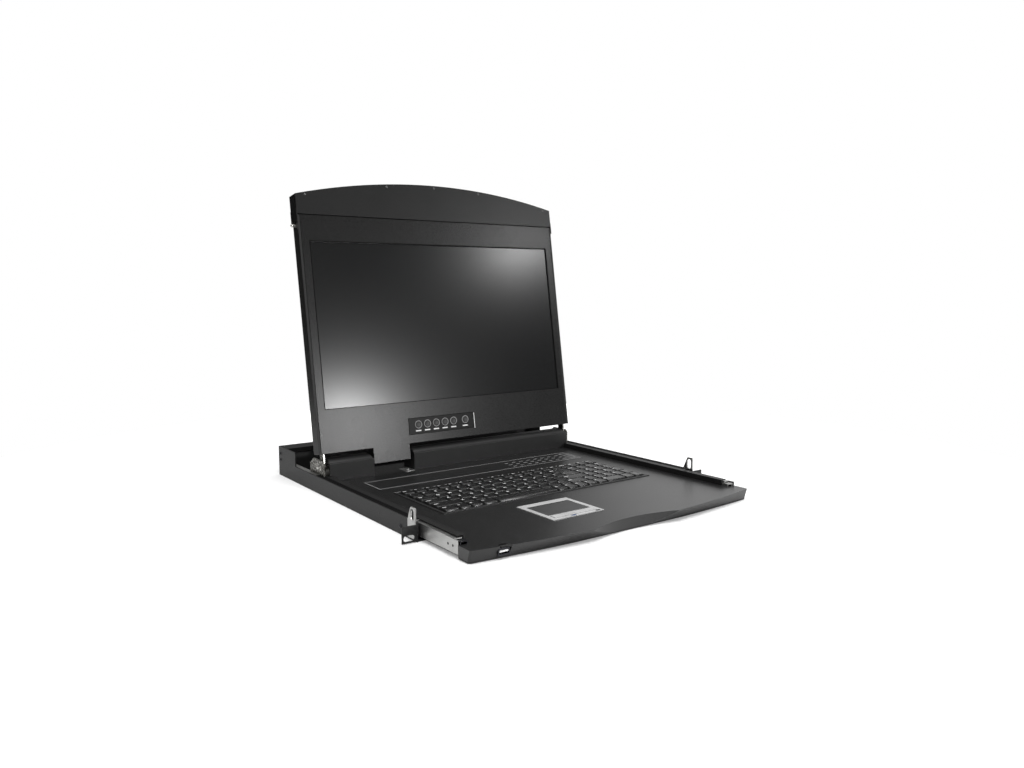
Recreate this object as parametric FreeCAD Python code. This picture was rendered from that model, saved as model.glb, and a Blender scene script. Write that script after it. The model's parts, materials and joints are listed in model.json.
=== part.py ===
import FreeCAD, Part
import math
import os

from FreeCAD import Vector

# Rackmount LCD console drawer, one rack unit high, millimetres.
# X to the right, Y to the rear, Z up. While it is built, Y = 0 is the front plane of the
# rack flanges and Z = 0 the plane that the housing stands on. At the end every piece is moved
# along Y so that the origin lies under the middle of the whole assembly.
# It is drawn with the drawer part way out and the screen raised.

# ---------------------------------------------------------------- rack and housing
rack_panel_width = 482.6
rack_slot_inset = 8.75
rack_slot_width = 7.0
rack_slot_length = 14.0
rack_slot_height = 6.35
flange_bottom = 1.0
flange_top = 20.0
rack_flange_width = 18.5
housing_sheet = 1.5
wall_height = 23.0
wall_foot_width = 11.0
box_depth = 64.3
box_height = 43.4
housing_rear = 413.3
top_flange_depth = 30.0
top_flange_fold = 5.0
panel_ear_depth = 14.0

# ---------------------------------------------------------------- lock plates on the flanges
lock_plate_thickness = 2.0
lock_plate_base = 16.0
lock_plate_tip = 9.0
lock_plate_bottom = 3.0
lock_plate_shoulder = 23.0
lock_plate_top = 38.4
lock_slot_width = 7.5
lock_slot_height = 14.0
lock_slot_y = 7.3
lock_slot_z = 29.5

# ---------------------------------------------------------------- slides
slide_sheet = 1.2
slide_depth = 7.8
slide_outer_bottom = 3.4
slide_outer_height = 19.0
slide_gap = 0.6
slide_outer_front = 10.0
slide_outer_length = 365.0
slide_middle_length = 390.0
slide_middle_offset = 2.3
slide_middle_depth = 9.3
slide_middle_share = 0.9
slide_middle_hole = 1.6
slide_middle_holes = ((5.5, -1.0), (12.5, 1.5), (170.0, 0.0))
slide_inner_depth = 9.7
slide_inner_rear = 287.0
slide_stop_length = 12.0

# ---------------------------------------------------------------- drawer
drawer_sheet = 1.2
drawer_side_room = 15.7
drawer_bottom = 2.8
drawer_rear = 314.0
drawer_web_top = 22.7
drawer_rim_width = 7.4
drawer_rim_front = -66.0
deck_top = 15.4
deck_thickness = 1.5
deck_side_gap = 0.3
lip_side_room = 4.8
lip_rear = -76.0
lip_wall = 2.0
lip_top_end = -99.5
lip_top_bulge = 20.5
lip_bottom_end = -96.0
lip_bottom_bulge = 10.5
lip_corner_cut = 2.5
scoop_half_width = 67.0
scoop_depth = 15.0

# ---------------------------------------------------------------- keyboard
keys_half_width = 164.0
keys_front = 36.0
key_rows = 5
key_pitch_y = 19.0
function_key_depth = 16.0
function_key_gap = 3.0
key_gap = 1.3
key_top = 18.4
key_skirt_bottom = 13.4
key_draft = 1.3
key_link = 0.8
key_link_width = 6.0
key_side_gap = 0.5
key_link_gap = 0.3
keyboard_floor = 9.0
keyboard_wall = 0.8
keyboard_rim = 4.0
keyboard_rim_height = 0.9
keyboard_fit = 0.2
key_main_units = 15.0
key_pad_units = 4.0

# ---------------------------------------------------------------- status strip and touch pad
strip_half_width = 174.5
strip_front = 181.0
strip_depth = 49.0
strip_recess = 0.4
strip_thickness = 0.6
pad_centre_x = -44.5
pad_width = 77.0
pad_front = -65.0
pad_depth = 70.5
pad_rim = 3.0
pad_rim_height = 1.0
pad_surface_width = 63.0
pad_surface_depth = 45.0
pad_surface_front = -47.0
pad_surface_drop = 0.3
pad_floor = 10.5
pad_plate = 1.2
pad_fit = 0.2
button_front = -59.5
button_depth = 9.0
button_gap = 0.5
button_rise = 0.5
button_height = 3.2

# ---------------------------------------------------------------- front port
usb_side_room = 39.0
usb_z = 8.6
usb_front = -102.5
usb_width = 13.1
usb_height = 5.7
usb_length = 16.0
usb_wall = 0.4
usb_collar = 1.2
usb_fit = 0.3
usb_tongue_thickness = 1.0

# ---------------------------------------------------------------- hinge
hinge_y = 276.2
hinge_z = 33.5
screen_tilt = 9.0
shaft_radius = 3.0
shaft_fit = 0.05
shaft_length_inside = 30.0
shaft_head_radius = 5.0
shaft_head = 1.5
arm_inset = 10.0
arm_thickness = 2.5
arm_radius = 7.0
arm_length = 60.0
arm_foot_start = 24.0
arm_foot_width = 20.0
bracket_inset = 6.5
bracket_plate = 2.0
bracket_front = 266.0
bracket_rear = 312.0
bracket_top = 43.5
bracket_lug_inset = 24.0
bracket_foot_front = 268.0
bracket_lug_rear = 286.0
bracket_lug_top = 39.2
cover_sheet = 1.0
cover_front = 260.6
cover_rear = 292.0
cover_top = 40.5
cover_bracket_gap = 4.5
cover_lug_gap = 6.0
cover_rim_gap = 0.3
cover_bend = 1.5
tab_left = -139.0
tab_right = -81.0
tab_gap = 3.0

# ---------------------------------------------------------------- screen
screen_side_room = 2.8
screen_bottom = 18.0
screen_top = 347.0
screen_front = 10.0
screen_back = 10.0
shell_wall = 2.0
shell_edge = 3.4
shell_front_step = 0.4
shell_radius = 3.0
bezel_thickness = 1.4
bezel_gap = 0.3
view_side_border = 15.1
view_bottom = 78.8
view_height = 230.4
cell_border = 7.1
cell_border_bottom = 8.8
cell_thickness = 8.0
tab_bottom = -4.0
tab_back = 6.0
tab_wall = 1.5
board_half_width = 60.0
back_screw_inset = 25.0
back_screw_low = 50.0
back_screw_high = 40.0
back_screw_shank = 1.2
back_screw_fit = 0.1
back_screw_rise = 0.8
controller_half_width = 60.0
controller_front = 200.0
controller_depth = 50.0
controller_rise = 2.0
controller_foot_inset = 6.0
controller_chip = 18.0
controller_chip_height = 1.4
controller_plug_width = 20.0
controller_plug_depth = 8.0
controller_plug_height = 6.0
board_bottom = 90.0
board_height = 100.0
board_thickness = 1.6
board_standoff = 3.0
osd_left = -79.7
osd_right = 33.0
osd_bottom = 30.2
osd_height = 24.2
osd_recess = 0.6
osd_plate_rise = 0.2
osd_button_x = (-63.3, -48.2, -33.1, -18.0, -2.9, 17.8)
osd_button_s = 44.2
osd_button_radius = 4.6
osd_button_gap = 0.3
osd_button_rise = 1.0
osd_flange_radius = 6.0
osd_flange = 1.3

# ---------------------------------------------------------------- cap over the screen
cap_overhang = 0.5
cap_proud = 0.8
cap_end = 374.2
cap_sagitta = 25.7
cap_wall = 1.5
cap_tab_length = 11.0
cap_tab_thickness = 1.0
cap_screw_end_inset = 14.5
cap_screw_pitch = 80.0
cap_screw_rise = 0.6
cap_screw_inset = 3.8
cap_screw_radius = 1.7

# ---------------------------------------------------------------- lock pins
pin_s = 332.0
pin_radius = 2.2
pin_fit = 0.1
pin_reach = 3.7
pin_tip_taper = 1.2
pin_length_inside = 20.0
pin_collar_radius = 3.6
pin_collar_length = 4.2
pin_collar_gap = 0.3
pin_guide_inset = 17.0
pin_guide_length = 5.5
pin_guide_half = 6.0

# ---------------------------------------------------------------- rear electronics
board_depth_inside = 28.3
board_rear_gap = 1.5
rear_standoff = 4.5
module_depth = 30.8
module_sheet = 1.0
module_side_room = 4.0
module_top = 36.2
module_rear_gap = 0.3
module_slot_x = 60.0
module_slot_width = 40.0
module_slot_bottom = 14.0
module_slot_height = 9.0
switch_chips = ((88.0, 14.0, 2.0), (168.0, 22.0, 2.0), (248.0, 22.0, 2.0))
power_chips = ((17.0, 24.0, 18.0),)
rear_board_gap = 8.0
rear_board_side_room = 9.3
port_count = 8
port_board_inset = 68.0
port_pitch = 33.0
port_z = 15.5
port_flange_width = 30.8
port_flange_height = 12.5
port_body_width = 19.0
port_body_depth = 14.0
port_shell_width = 16.8
port_shell_height = 8.3
port_shell_length = 6.2
port_fit = 0.6
usb_stack_inset = 23.0
usb_stack_width = 14.5
usb_stack_height = 15.6
usb_stack_depth = 17.0
inlet_side_room = 31.3
inlet_z = 21.7
inlet_width = 27.0
inlet_height = 20.0
inlet_depth = 18.0
inlet_wall = 1.5
inlet_rim = 2.0
inlet_rim_border = 1.8
inlet_fit = 0.2
inlet_blade_width = 2.0
inlet_blade_height = 4.0
switch_pitch = 30.0
switch_width = 12.6
switch_height = 18.6
switch_fit = 0.6
switch_wall = 1.4
switch_angle = 8.0
switch_stem = 7.0
supply_inset = 10.0
supply_width = 34.0
standoff_radius = 2.5
standoff_inset = 6.0

# ---------------------------------------------------------------- fasteners
screw_shank = 1.6
screw_fit = 0.1
screw_head = 3.0
screw_head_height = 1.2
slide_screw_y = (90.0, 200.0, 320.0)
slide_pin_y = 37.5
slide_pin_z = 10.0
inner_screw_y = (-40.0, 100.0, 240.0)
inner_screw_z = 11.0
small_screw_head = 2.4
rivet_z = (8.0, 15.0)
rivet_y = 9.5
panel_screw_z = (24.0, 33.0)

# ---------------------------------------------------------------- sizes that follow from these
rack_slot_spacing = rack_panel_width - 2 * rack_slot_inset
wall_outer = rack_panel_width / 2 - rack_flange_width
wall_inner = wall_outer - housing_sheet
panel_inner = housing_rear - housing_sheet
module_front = panel_inner - module_depth
box_front = housing_rear - box_depth
board_front = housing_rear - board_depth_inside
slide_web = wall_inner - slide_sheet
slide_outer_top = slide_outer_bottom + slide_outer_height
middle_bottom = slide_outer_bottom + slide_sheet + slide_gap
middle_top = slide_outer_top - slide_sheet - slide_gap
inner_bottom = middle_bottom + slide_sheet + slide_gap
inner_top = middle_top - slide_sheet - slide_gap
middle_outer = slide_web - slide_middle_offset
drawer_half_width = wall_inner - drawer_side_room
drawer_inside = drawer_half_width - drawer_sheet
lip_half_width = wall_outer - lip_side_room
screen_half_width = wall_outer - screen_side_room
cap_half_width = screen_half_width + cap_overhang
view_half_width = screen_half_width - view_side_border
cell_half_width = view_half_width + cell_border
cell_bottom = view_bottom - cell_border_bottom
cell_height = view_height + 2 * cell_border_bottom
usb_x = -lip_half_width + usb_side_room
shaft_inner_end = screen_half_width - shaft_length_inside
arm_inner = screen_half_width - arm_inset
arm_foot_inner = arm_inner - arm_foot_width
bracket_inner = screen_half_width - bracket_inset
bracket_lug = screen_half_width - bracket_lug_inset
cover_outer = bracket_inner - cover_bracket_gap
cover_closed_to = bracket_lug - cover_lug_gap
pin_tip = wall_outer + pin_reach
pin_inner_end = screen_half_width - pin_length_inside
pin_guide_inner = screen_half_width - pin_guide_inset
inlet_x = -wall_inner + inlet_side_room
switch_x = inlet_x + switch_pitch
supply_left = switch_x + supply_inset
supply_right = supply_left + supply_width
rear_board_left = supply_right + rear_board_gap
rear_board_right = wall_inner - rear_board_side_room
port_first_x = rear_board_left + port_board_inset
usb_stack_x = rear_board_left + usb_stack_inset
deck_bottom = deck_top - deck_thickness
rim_bottom = drawer_web_top - drawer_sheet
pin_y = hinge_y - pin_s
closing_travel = lock_slot_y - pin_y
middle_front = lip_rear + closing_travel + 1.0 - slide_middle_share * closing_travel
key_unit = 2 * keys_half_width / (key_main_units + key_pad_units)
keys_rear = keys_front + key_rows * key_pitch_y + function_key_gap + function_key_depth
bracket_outer = bracket_inner + bracket_plate
shell_inside = screen_half_width - shell_wall
bezel_back = screen_front - bezel_thickness
view_top = view_bottom + view_height
slide_screw_z = slide_outer_bottom + slide_outer_height / 2

pieces = {}


def box(x0, x1, y0, y1, z0, z1):
    return Part.makeBox(x1 - x0, y1 - y0, z1 - z0, Vector(x0, y0, z0))


def prism(points, depth):
    """Closed polygon swept along the vector depth."""
    ring = [Vector(*p) for p in points]
    ring.append(ring[0])
    return Part.Face(Part.makePolygon(ring)).extrude(Vector(*depth))


def rod_x(x0, x1, y, z, radius):
    return Part.makeCylinder(radius, x1 - x0, Vector(x0, y, z), Vector(1, 0, 0))


def rod_y(x, y0, y1, z, radius):
    return Part.makeCylinder(radius, y1 - y0, Vector(x, y0, z), Vector(0, 1, 0))


def rod_z(x, y, z0, z1, radius):
    return Part.makeCylinder(radius, z1 - z0, Vector(x, y, z0))


def join(shapes):
    """One solid from overlapping or touching shapes."""
    whole = shapes[0]
    if len(shapes) > 1:
        whole = shapes[0].fuse(shapes[1:])
    return whole.removeSplitter()


def mirrored(shape):
    return shape.mirror(Vector(0, 0, 0), Vector(1, 0, 0))


def pair(name, right):
    """A right-hand piece and its mirror image."""
    pieces[name + "_right"] = right
    pieces[name + "_left"] = mirrored(right)


def arch_radius(half_chord, sagitta):
    return (half_chord ** 2 + sagitta ** 2) / (2 * sagitta)


def arch_drop(x, half_chord, sagitta):
    """How far an arch lies below its crown at x."""
    radius = arch_radius(half_chord, sagitta)
    return radius - math.sqrt(radius ** 2 - x ** 2)


def raise_screen(shape):
    """Screen pieces are drawn upright on the hinge axis, then tilted and put in place."""
    placed = shape.copy()
    placed.rotate(Vector(0, 0, 0), Vector(1, 0, 0), -screen_tilt)
    placed.translate(Vector(0, hinge_y, hinge_z))
    return placed


def slab(x0, x1, s0, s1, n0, n1):
    """Screen box: s runs up the screen from the hinge axis, n towards the viewer."""
    return box(x0, x1, -n1, -n0, s0, s1)


# ================================================================ housing
def long_slot(x, y0, y1, z, width, length):
    """Slot through a flange at right angles to Y, with its length along X."""
    half = (length - width) / 2
    bar = box(x - half, x + half, y0, y1, z - width / 2, z + width / 2)
    ends = [rod_y(x + side * half, y0, y1, z, width / 2) for side in (-1, 1)]
    return join([bar] + ends)


def slide_screw_places():
    return [(y, slide_screw_z) for y in slide_screw_y] + [(slide_pin_y, slide_pin_z)]


def side_rail():
    wall = prism([(wall_inner, 0, 0), (wall_inner, panel_inner, 0),
                  (wall_inner, panel_inner, box_height), (wall_inner, box_front, box_height),
                  (wall_inner, box_front, wall_height), (wall_inner, 0, wall_height)],
                 (housing_sheet, 0, 0))
    foot = box(wall_inner - wall_foot_width, wall_inner, housing_sheet, box_front, 0, housing_sheet)
    flange = box(wall_inner, rack_panel_width / 2, 0, housing_sheet, flange_bottom, flange_top)
    rail = join([wall, foot, flange])
    cuts = [long_slot(rack_slot_spacing / 2, -1, housing_sheet + 1, rack_slot_height,
                      rack_slot_width, rack_slot_length)]
    hole = screw_shank + screw_fit
    for y, z in slide_screw_places():
        cuts.append(rod_x(wall_inner - 1, wall_outer + 1, y, z, hole))
    for z in rivet_z:
        cuts.append(rod_x(wall_inner - 1, wall_outer + 1, rivet_y, z, hole))
    for z in panel_screw_z:
        cuts.append(rod_x(wall_inner - 1, wall_outer + 1, housing_rear - panel_ear_depth / 2, z, hole))
    return rail.cut(cuts)


def lock_plate():
    front = housing_sheet
    plate = prism([(wall_outer, front, lock_plate_bottom),
                   (wall_outer, front + lock_plate_base, lock_plate_bottom),
                   (wall_outer, front + lock_plate_base, lock_plate_shoulder),
                   (wall_outer, front + lock_plate_tip, lock_plate_top),
                   (wall_outer, front, lock_plate_top)],
                  (lock_plate_thickness, 0, 0))
    half = (lock_slot_height - lock_slot_width) / 2
    x0 = wall_outer - 1
    x1 = wall_outer + lock_plate_thickness + 1
    slot = [box(x0, x1, lock_slot_y - lock_slot_width / 2, lock_slot_y + lock_slot_width / 2,
                lock_slot_z - half, lock_slot_z + half)]
    for side in (-1, 1):
        slot.append(rod_x(x0, x1, lock_slot_y, lock_slot_z + side * half, lock_slot_width / 2))
    rivets = [rod_x(x0, x1, rivet_y, z, screw_shank + screw_fit) for z in rivet_z]
    return plate.cut([join(slot)] + rivets)


def standoff_places(left, right):
    for x in (left + standoff_inset, right - standoff_inset):
        for y in (board_front + standoff_inset, panel_inner - board_rear_gap - standoff_inset):
            yield x, y


def rear_base():
    plate = box(-wall_inner, wall_inner, box_front, panel_inner, 0, housing_sheet)
    posts = []
    for left, right in ((rear_board_left, rear_board_right), (supply_left, supply_right)):
        for x, y in standoff_places(left, right):
            posts.append(rod_z(x, y, housing_sheet, housing_sheet + rear_standoff,
                               standoff_radius))
    return join([plate] + posts)


def port_outline(x, y0, y1, width, height):
    """D-shaped shell of a video port, wider at the top."""
    half = height / 2
    slant = 1.5
    return prism([(x - width / 2, y0, port_z + half), (x + width / 2, y0, port_z + half),
                  (x + width / 2 - slant, y0, port_z - half), (x - width / 2 + slant, y0, port_z - half)],
                 (0, y1 - y0, 0))


def port_places():
    return [port_first_x + i * port_pitch for i in range(port_count)]


def rear_panel():
    sheet = box(-wall_outer, wall_outer, panel_inner, housing_rear, 0, box_height)
    flange_front = housing_rear - top_flange_depth
    top = box(-wall_inner, wall_inner, flange_front, panel_inner, box_height - housing_sheet, box_height)
    fold = box(-wall_inner, wall_inner, flange_front, flange_front + housing_sheet,
               box_height - housing_sheet - top_flange_fold, box_height - housing_sheet)
    ears = []
    for side in (-1, 1):
        x0, x1 = sorted((side * wall_inner, side * (wall_inner - housing_sheet)))
        ears.append(box(x0, x1, housing_rear - panel_ear_depth, panel_inner,
                        housing_sheet + 1, box_height - housing_sheet))
    panel = join([sheet, top, fold] + ears)
    y0 = panel_inner - 1
    y1 = housing_rear + 1
    cuts = [port_outline(x, y0, y1, port_shell_width + 2 * port_fit, port_shell_height + 2 * port_fit)
            for x in port_places()]
    board_top = housing_sheet + rear_standoff + board_thickness
    cuts.append(box(usb_stack_x - usb_stack_width / 2 - port_fit, usb_stack_x + usb_stack_width / 2 + port_fit,
                    y0, y1, board_top - port_fit, board_top + usb_stack_height + port_fit))
    cuts.append(box(inlet_x - inlet_width / 2 - inlet_fit, inlet_x + inlet_width / 2 + inlet_fit,
                    y0, y1, inlet_z - inlet_height / 2 - inlet_fit, inlet_z + inlet_height / 2 + inlet_fit))
    frame_half = switch_width / 2 + switch_fit + switch_wall + inlet_fit
    frame_rise = switch_height / 2 + switch_fit + switch_wall + inlet_fit
    cuts.append(box(switch_x - frame_half, switch_x + frame_half, y0, y1,
                    inlet_z - frame_rise, inlet_z + frame_rise))
    for side in (-1, 1):
        for z in panel_screw_z:
            x0, x1 = sorted((side * (wall_inner - housing_sheet - 1), side * (wall_inner + 1)))
            cuts.append(rod_x(x0, x1, housing_rear - panel_ear_depth / 2, z, screw_shank + screw_fit))
    return panel.cut(cuts)


def rear_circuit(left, right, chips):
    """Circuit board on its standoffs, with the bigger components on it."""
    z0 = housing_sheet + rear_standoff
    board = box(left, right, board_front, panel_inner - board_rear_gap, z0, z0 + board_thickness)
    parts = [board]
    for place, width, height in chips:
        x = left + place
        parts.append(box(x - width / 2, x + width / 2, board_front + 2, board_front + 9,
                         z0 + board_thickness, z0 + board_thickness + height))
    return join(parts)


def module_cover():
    """Folded lid over the boards, with the opening for the cable that runs to the drawer."""
    w = wall_inner - module_side_room
    t = module_sheet
    rear = panel_inner - module_rear_gap
    front = box(-w, w, module_front, module_front + t, housing_sheet, module_top)
    top = box(-w, w, module_front, rear, module_top - t, module_top)
    sides = [box(min(side * w, side * (w - t)), max(side * w, side * (w - t)), module_front, rear,
                 housing_sheet, module_top) for side in (-1, 1)]
    slot = box(module_slot_x, module_slot_x + module_slot_width, module_front - 1, module_front + t + 1,
               module_slot_bottom, module_slot_bottom + module_slot_height)
    return join([front, top] + sides).cut(slot)


def computer_ports():
    z0 = housing_sheet + rear_standoff + board_thickness
    ports = []
    for x in port_places():
        plate = box(x - port_flange_width / 2, x + port_flange_width / 2, panel_inner - 1, panel_inner,
                    port_z - port_flange_height / 2, port_z + port_flange_height / 2)
        body = box(x - port_body_width / 2, x + port_body_width / 2,
                   panel_inner - port_body_depth, panel_inner - 1, z0, port_z + port_flange_height / 2 - 1)
        shell = port_outline(x, panel_inner, panel_inner + port_shell_length,
                             port_shell_width, port_shell_height)
        ports.append(join([plate, body, shell]))
    return Part.makeCompound(ports)


def usb_socket(width, height, length):
    """Metal shell open at its front end, with the contact tongue inside, front face at Y = 0."""
    shell = box(-width / 2, width / 2, 0, length, -height / 2, height / 2)
    hollow = box(-width / 2 + usb_wall, width / 2 - usb_wall, -1, length - usb_wall,
                 -height / 2 + usb_wall, height / 2 - usb_wall)
    tongue = box(-width / 2 + 1.2, width / 2 - 1.2, 1.5, length - usb_wall,
                 height / 2 - usb_wall - 1.9, height / 2 - usb_wall - 1.9 + usb_tongue_thickness)
    return shell.cut(hollow).fuse(tongue).removeSplitter()


def console_ports():
    z0 = housing_sheet + rear_standoff + board_thickness
    half = usb_stack_height / 2
    sockets = []
    for level in (0, 1):
        socket = usb_socket(usb_stack_width, half, usb_stack_depth)
        socket.rotate(Vector(0, 0, 0), Vector(0, 0, 1), 180)
        socket.translate(Vector(usb_stack_x, housing_rear + 0.8, z0 + half * (level + 0.5)))
        sockets.append(socket)
    return join(sockets)


def power_inlet():
    """Mains inlet with its earth and line blades, and the frame of the rocker switch beside it."""
    inner = housing_rear - inlet_depth
    outer = housing_rear + inlet_rim
    half_w = inlet_width / 2
    half_h = inlet_height / 2
    frame_half = switch_width / 2 + switch_fit + switch_wall
    frame_rise = switch_height / 2 + switch_fit + switch_wall
    rim_half = half_h + inlet_rim_border
    rim = box(inlet_x - half_w - inlet_rim_border, switch_x + frame_half + inlet_rim_border,
              housing_rear, outer, inlet_z - rim_half - 1, inlet_z + rim_half + 1)
    body = box(inlet_x - half_w, inlet_x + half_w, inner, housing_rear, inlet_z - half_h, inlet_z + half_h)
    frame = box(switch_x - frame_half, switch_x + frame_half, inner, housing_rear,
                inlet_z - frame_rise, inlet_z + frame_rise)
    cavity = box(inlet_x - half_w + inlet_wall, inlet_x + half_w - inlet_wall, inner + 4, outer + 1,
                 inlet_z - half_h + inlet_wall, inlet_z + half_h - inlet_wall)
    well = box(switch_x - switch_width / 2 - switch_fit, switch_x + switch_width / 2 + switch_fit,
               inner + switch_wall, outer + 1,
               inlet_z - switch_height / 2 - switch_fit, inlet_z + switch_height / 2 + switch_fit)
    module = join([rim, body, frame]).cut([cavity, well])
    blades = []
    for x, z in ((-7.0, -1.5), (7.0, -1.5), (0.0, 3.5)):
        blades.append(box(inlet_x + x - inlet_blade_width / 2, inlet_x + x + inlet_blade_width / 2,
                          inner + 4, outer - 3, inlet_z + z, inlet_z + z + inlet_blade_height))
    pivots = []
    for side in (-1, 1):
        x0, x1 = sorted((switch_x + side * (switch_width / 2 + 0.1),
                         switch_x + side * (switch_width / 2 + switch_fit)))
        pivots.append(rod_x(x0, x1, housing_rear - 1, inlet_z, 1.5))
    return join([module] + blades + pivots)


def power_switch():
    """Rocker with a shallow V face, drawn with its lower half pressed in."""
    half = switch_height / 2
    y = housing_rear - 1
    face = y + 3.2
    rise = half * math.tan(math.radians(switch_angle))
    rocker = prism([(0, y, inlet_z - half), (0, face + rise, inlet_z - half + 0.6), (0, face, inlet_z),
                    (0, face + rise, inlet_z + half - 0.6), (0, y, inlet_z + half),
                    (0, y - switch_stem, inlet_z + 2.5), (0, y - switch_stem, inlet_z - 2.5)],
                   (switch_width, 0, 0))
    rocker.translate(Vector(switch_x - switch_width / 2, 0, 0))
    rocker.rotate(Vector(0, y, inlet_z), Vector(1, 0, 0), switch_angle / 2)
    return rocker


# ================================================================ slides
def channel(x_web, x_edge, y0, y1, z0, z1):
    """C-shaped member: a web at x_web and two flanges that reach to x_edge."""
    side = 1 if x_edge > x_web else -1
    w0, w1 = sorted((x_web, x_web + side * slide_sheet))
    f0, f1 = sorted((x_web, x_edge))
    web = box(w0, w1, y0, y1, z0, z1)
    low = box(f0, f1, y0, y1, z0, z0 + slide_sheet)
    high = box(f0, f1, y0, y1, z1 - slide_sheet, z1)
    return join([web, low, high])


def slide_outer():
    member = channel(wall_inner, wall_inner - slide_depth, slide_outer_front,
                     slide_outer_front + slide_outer_length, slide_outer_bottom, slide_outer_top)
    holes = [rod_x(slide_web - 1, wall_inner + 1, y, z, screw_shank + screw_fit)
             for y, z in slide_screw_places()]
    return member.cut(holes)


def slide_middle():
    member = channel(middle_outer, middle_outer - slide_middle_depth, middle_front,
                     middle_front + slide_middle_length, middle_bottom, middle_top)
    holes = []
    for y, rise in slide_middle_holes:
        holes.append(rod_x(middle_outer - slide_sheet - 1, middle_outer + 1, middle_front + y,
                           slide_screw_z + rise, slide_middle_hole))
    return member.cut(holes)


def slide_inner():
    member = channel(drawer_half_width, drawer_half_width + slide_inner_depth, lip_rear + 0.3,
                     slide_inner_rear, inner_bottom, inner_top)
    tip = drawer_half_width + slide_inner_depth
    stop = box(tip - slide_sheet, tip, lip_rear + 0.3, lip_rear + 0.3 + slide_stop_length,
               inner_bottom, inner_top)
    member = join([member, stop])
    holes = [rod_x(drawer_half_width - 1, drawer_half_width + slide_sheet + 1, y, inner_screw_z,
                   screw_shank + screw_fit) for y in inner_screw_y]
    return member.cut(holes)


# ================================================================ drawer
def drawer_base():
    front = lip_rear + 0.3
    floor = box(-drawer_half_width, drawer_half_width, front, drawer_rear,
                drawer_bottom, drawer_bottom + drawer_sheet)
    rear = box(-drawer_half_width, drawer_half_width, drawer_rear - drawer_sheet, drawer_rear,
               drawer_bottom, deck_bottom)
    parts = [floor, rear]
    for side in (-1, 1):
        x0, x1 = sorted((side * drawer_inside, side * drawer_half_width))
        parts.append(box(x0, x1, drawer_rim_front, drawer_rear, drawer_bottom, drawer_web_top))
        parts.append(box(x0, x1, front, drawer_rim_front, drawer_bottom, deck_top))
        x0, x1 = sorted((side * drawer_inside, side * (drawer_half_width + drawer_rim_width)))
        parts.append(box(x0, x1, drawer_rim_front, drawer_rear, rim_bottom, drawer_web_top))
    base = join(parts)
    cuts = []
    for side in (-1, 1):
        x0, x1 = sorted((side * (drawer_inside - 1), side * (drawer_half_width + 1)))
        for y in inner_screw_y:
            cuts.append(rod_x(x0, x1, y, inner_screw_z, screw_shank + screw_fit))
    return base.cut(cuts)


def lip_outline(z, end, bulge):
    """Plan of the front lip at one height: straight back and sides, arched front."""
    w = lip_half_width
    c = lip_corner_cut
    crown = Vector(0, end - bulge, z)
    corner_r = Vector(w - c, end, z)
    corner_l = Vector(-w + c, end, z)
    side_r = Vector(w, end + c, z)
    side_l = Vector(-w, end + c, z)
    back_r = Vector(w, lip_rear, z)
    back_l = Vector(-w, lip_rear, z)
    edges = [Part.LineSegment(back_l, back_r).toShape(), Part.LineSegment(back_r, side_r).toShape(),
             Part.LineSegment(side_r, corner_r).toShape(), Part.Arc(corner_r, crown, corner_l).toShape(),
             Part.LineSegment(corner_l, side_l).toShape(), Part.LineSegment(side_l, back_l).toShape()]
    return Part.Wire(edges)


def lip_scoop():
    """Finger scoop cut into the front of the lip: a round-bottomed bite seen from above."""
    edge_y = lip_top_end - lip_top_bulge + arch_drop(scoop_half_width, lip_half_width - lip_corner_cut,
                                                     lip_top_bulge)
    crown = lip_top_end - lip_top_bulge + scoop_depth
    left = Vector(-scoop_half_width, edge_y, drawer_bottom - 1)
    top = Vector(0, crown, drawer_bottom - 1)
    right = Vector(scoop_half_width, edge_y, drawer_bottom - 1)
    far_r = Vector(scoop_half_width, edge_y - 20, drawer_bottom - 1)
    far_l = Vector(-scoop_half_width, edge_y - 20, drawer_bottom - 1)
    edges = [Part.Arc(left, top, right).toShape(), Part.LineSegment(right, far_r).toShape(),
             Part.LineSegment(far_r, far_l).toShape(), Part.LineSegment(far_l, left).toShape()]
    return Part.Face(Part.Wire(edges)).extrude(Vector(0, 0, deck_top - drawer_bottom + 2))


def lip_hollow():
    """Space under the lip, a wall in from every face, with a solid block behind the scoop."""
    z0 = drawer_bottom - 1
    z1 = deck_top - lip_wall
    rear = lip_rear - lip_wall
    w = lip_half_width - lip_wall
    deep = lip_bottom_end + 2 * lip_wall
    crown = lip_top_end - lip_top_bulge + scoop_depth + lip_wall + 1
    near_scoop = [(w, rear, z0), (w, deep, z0), (scoop_half_width, crown + 1, z0),
                  (-scoop_half_width, crown + 1, z0), (-w, deep, z0), (-w, rear, z0)]
    return prism(near_scoop, (0, 0, z1 - z0))


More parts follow.
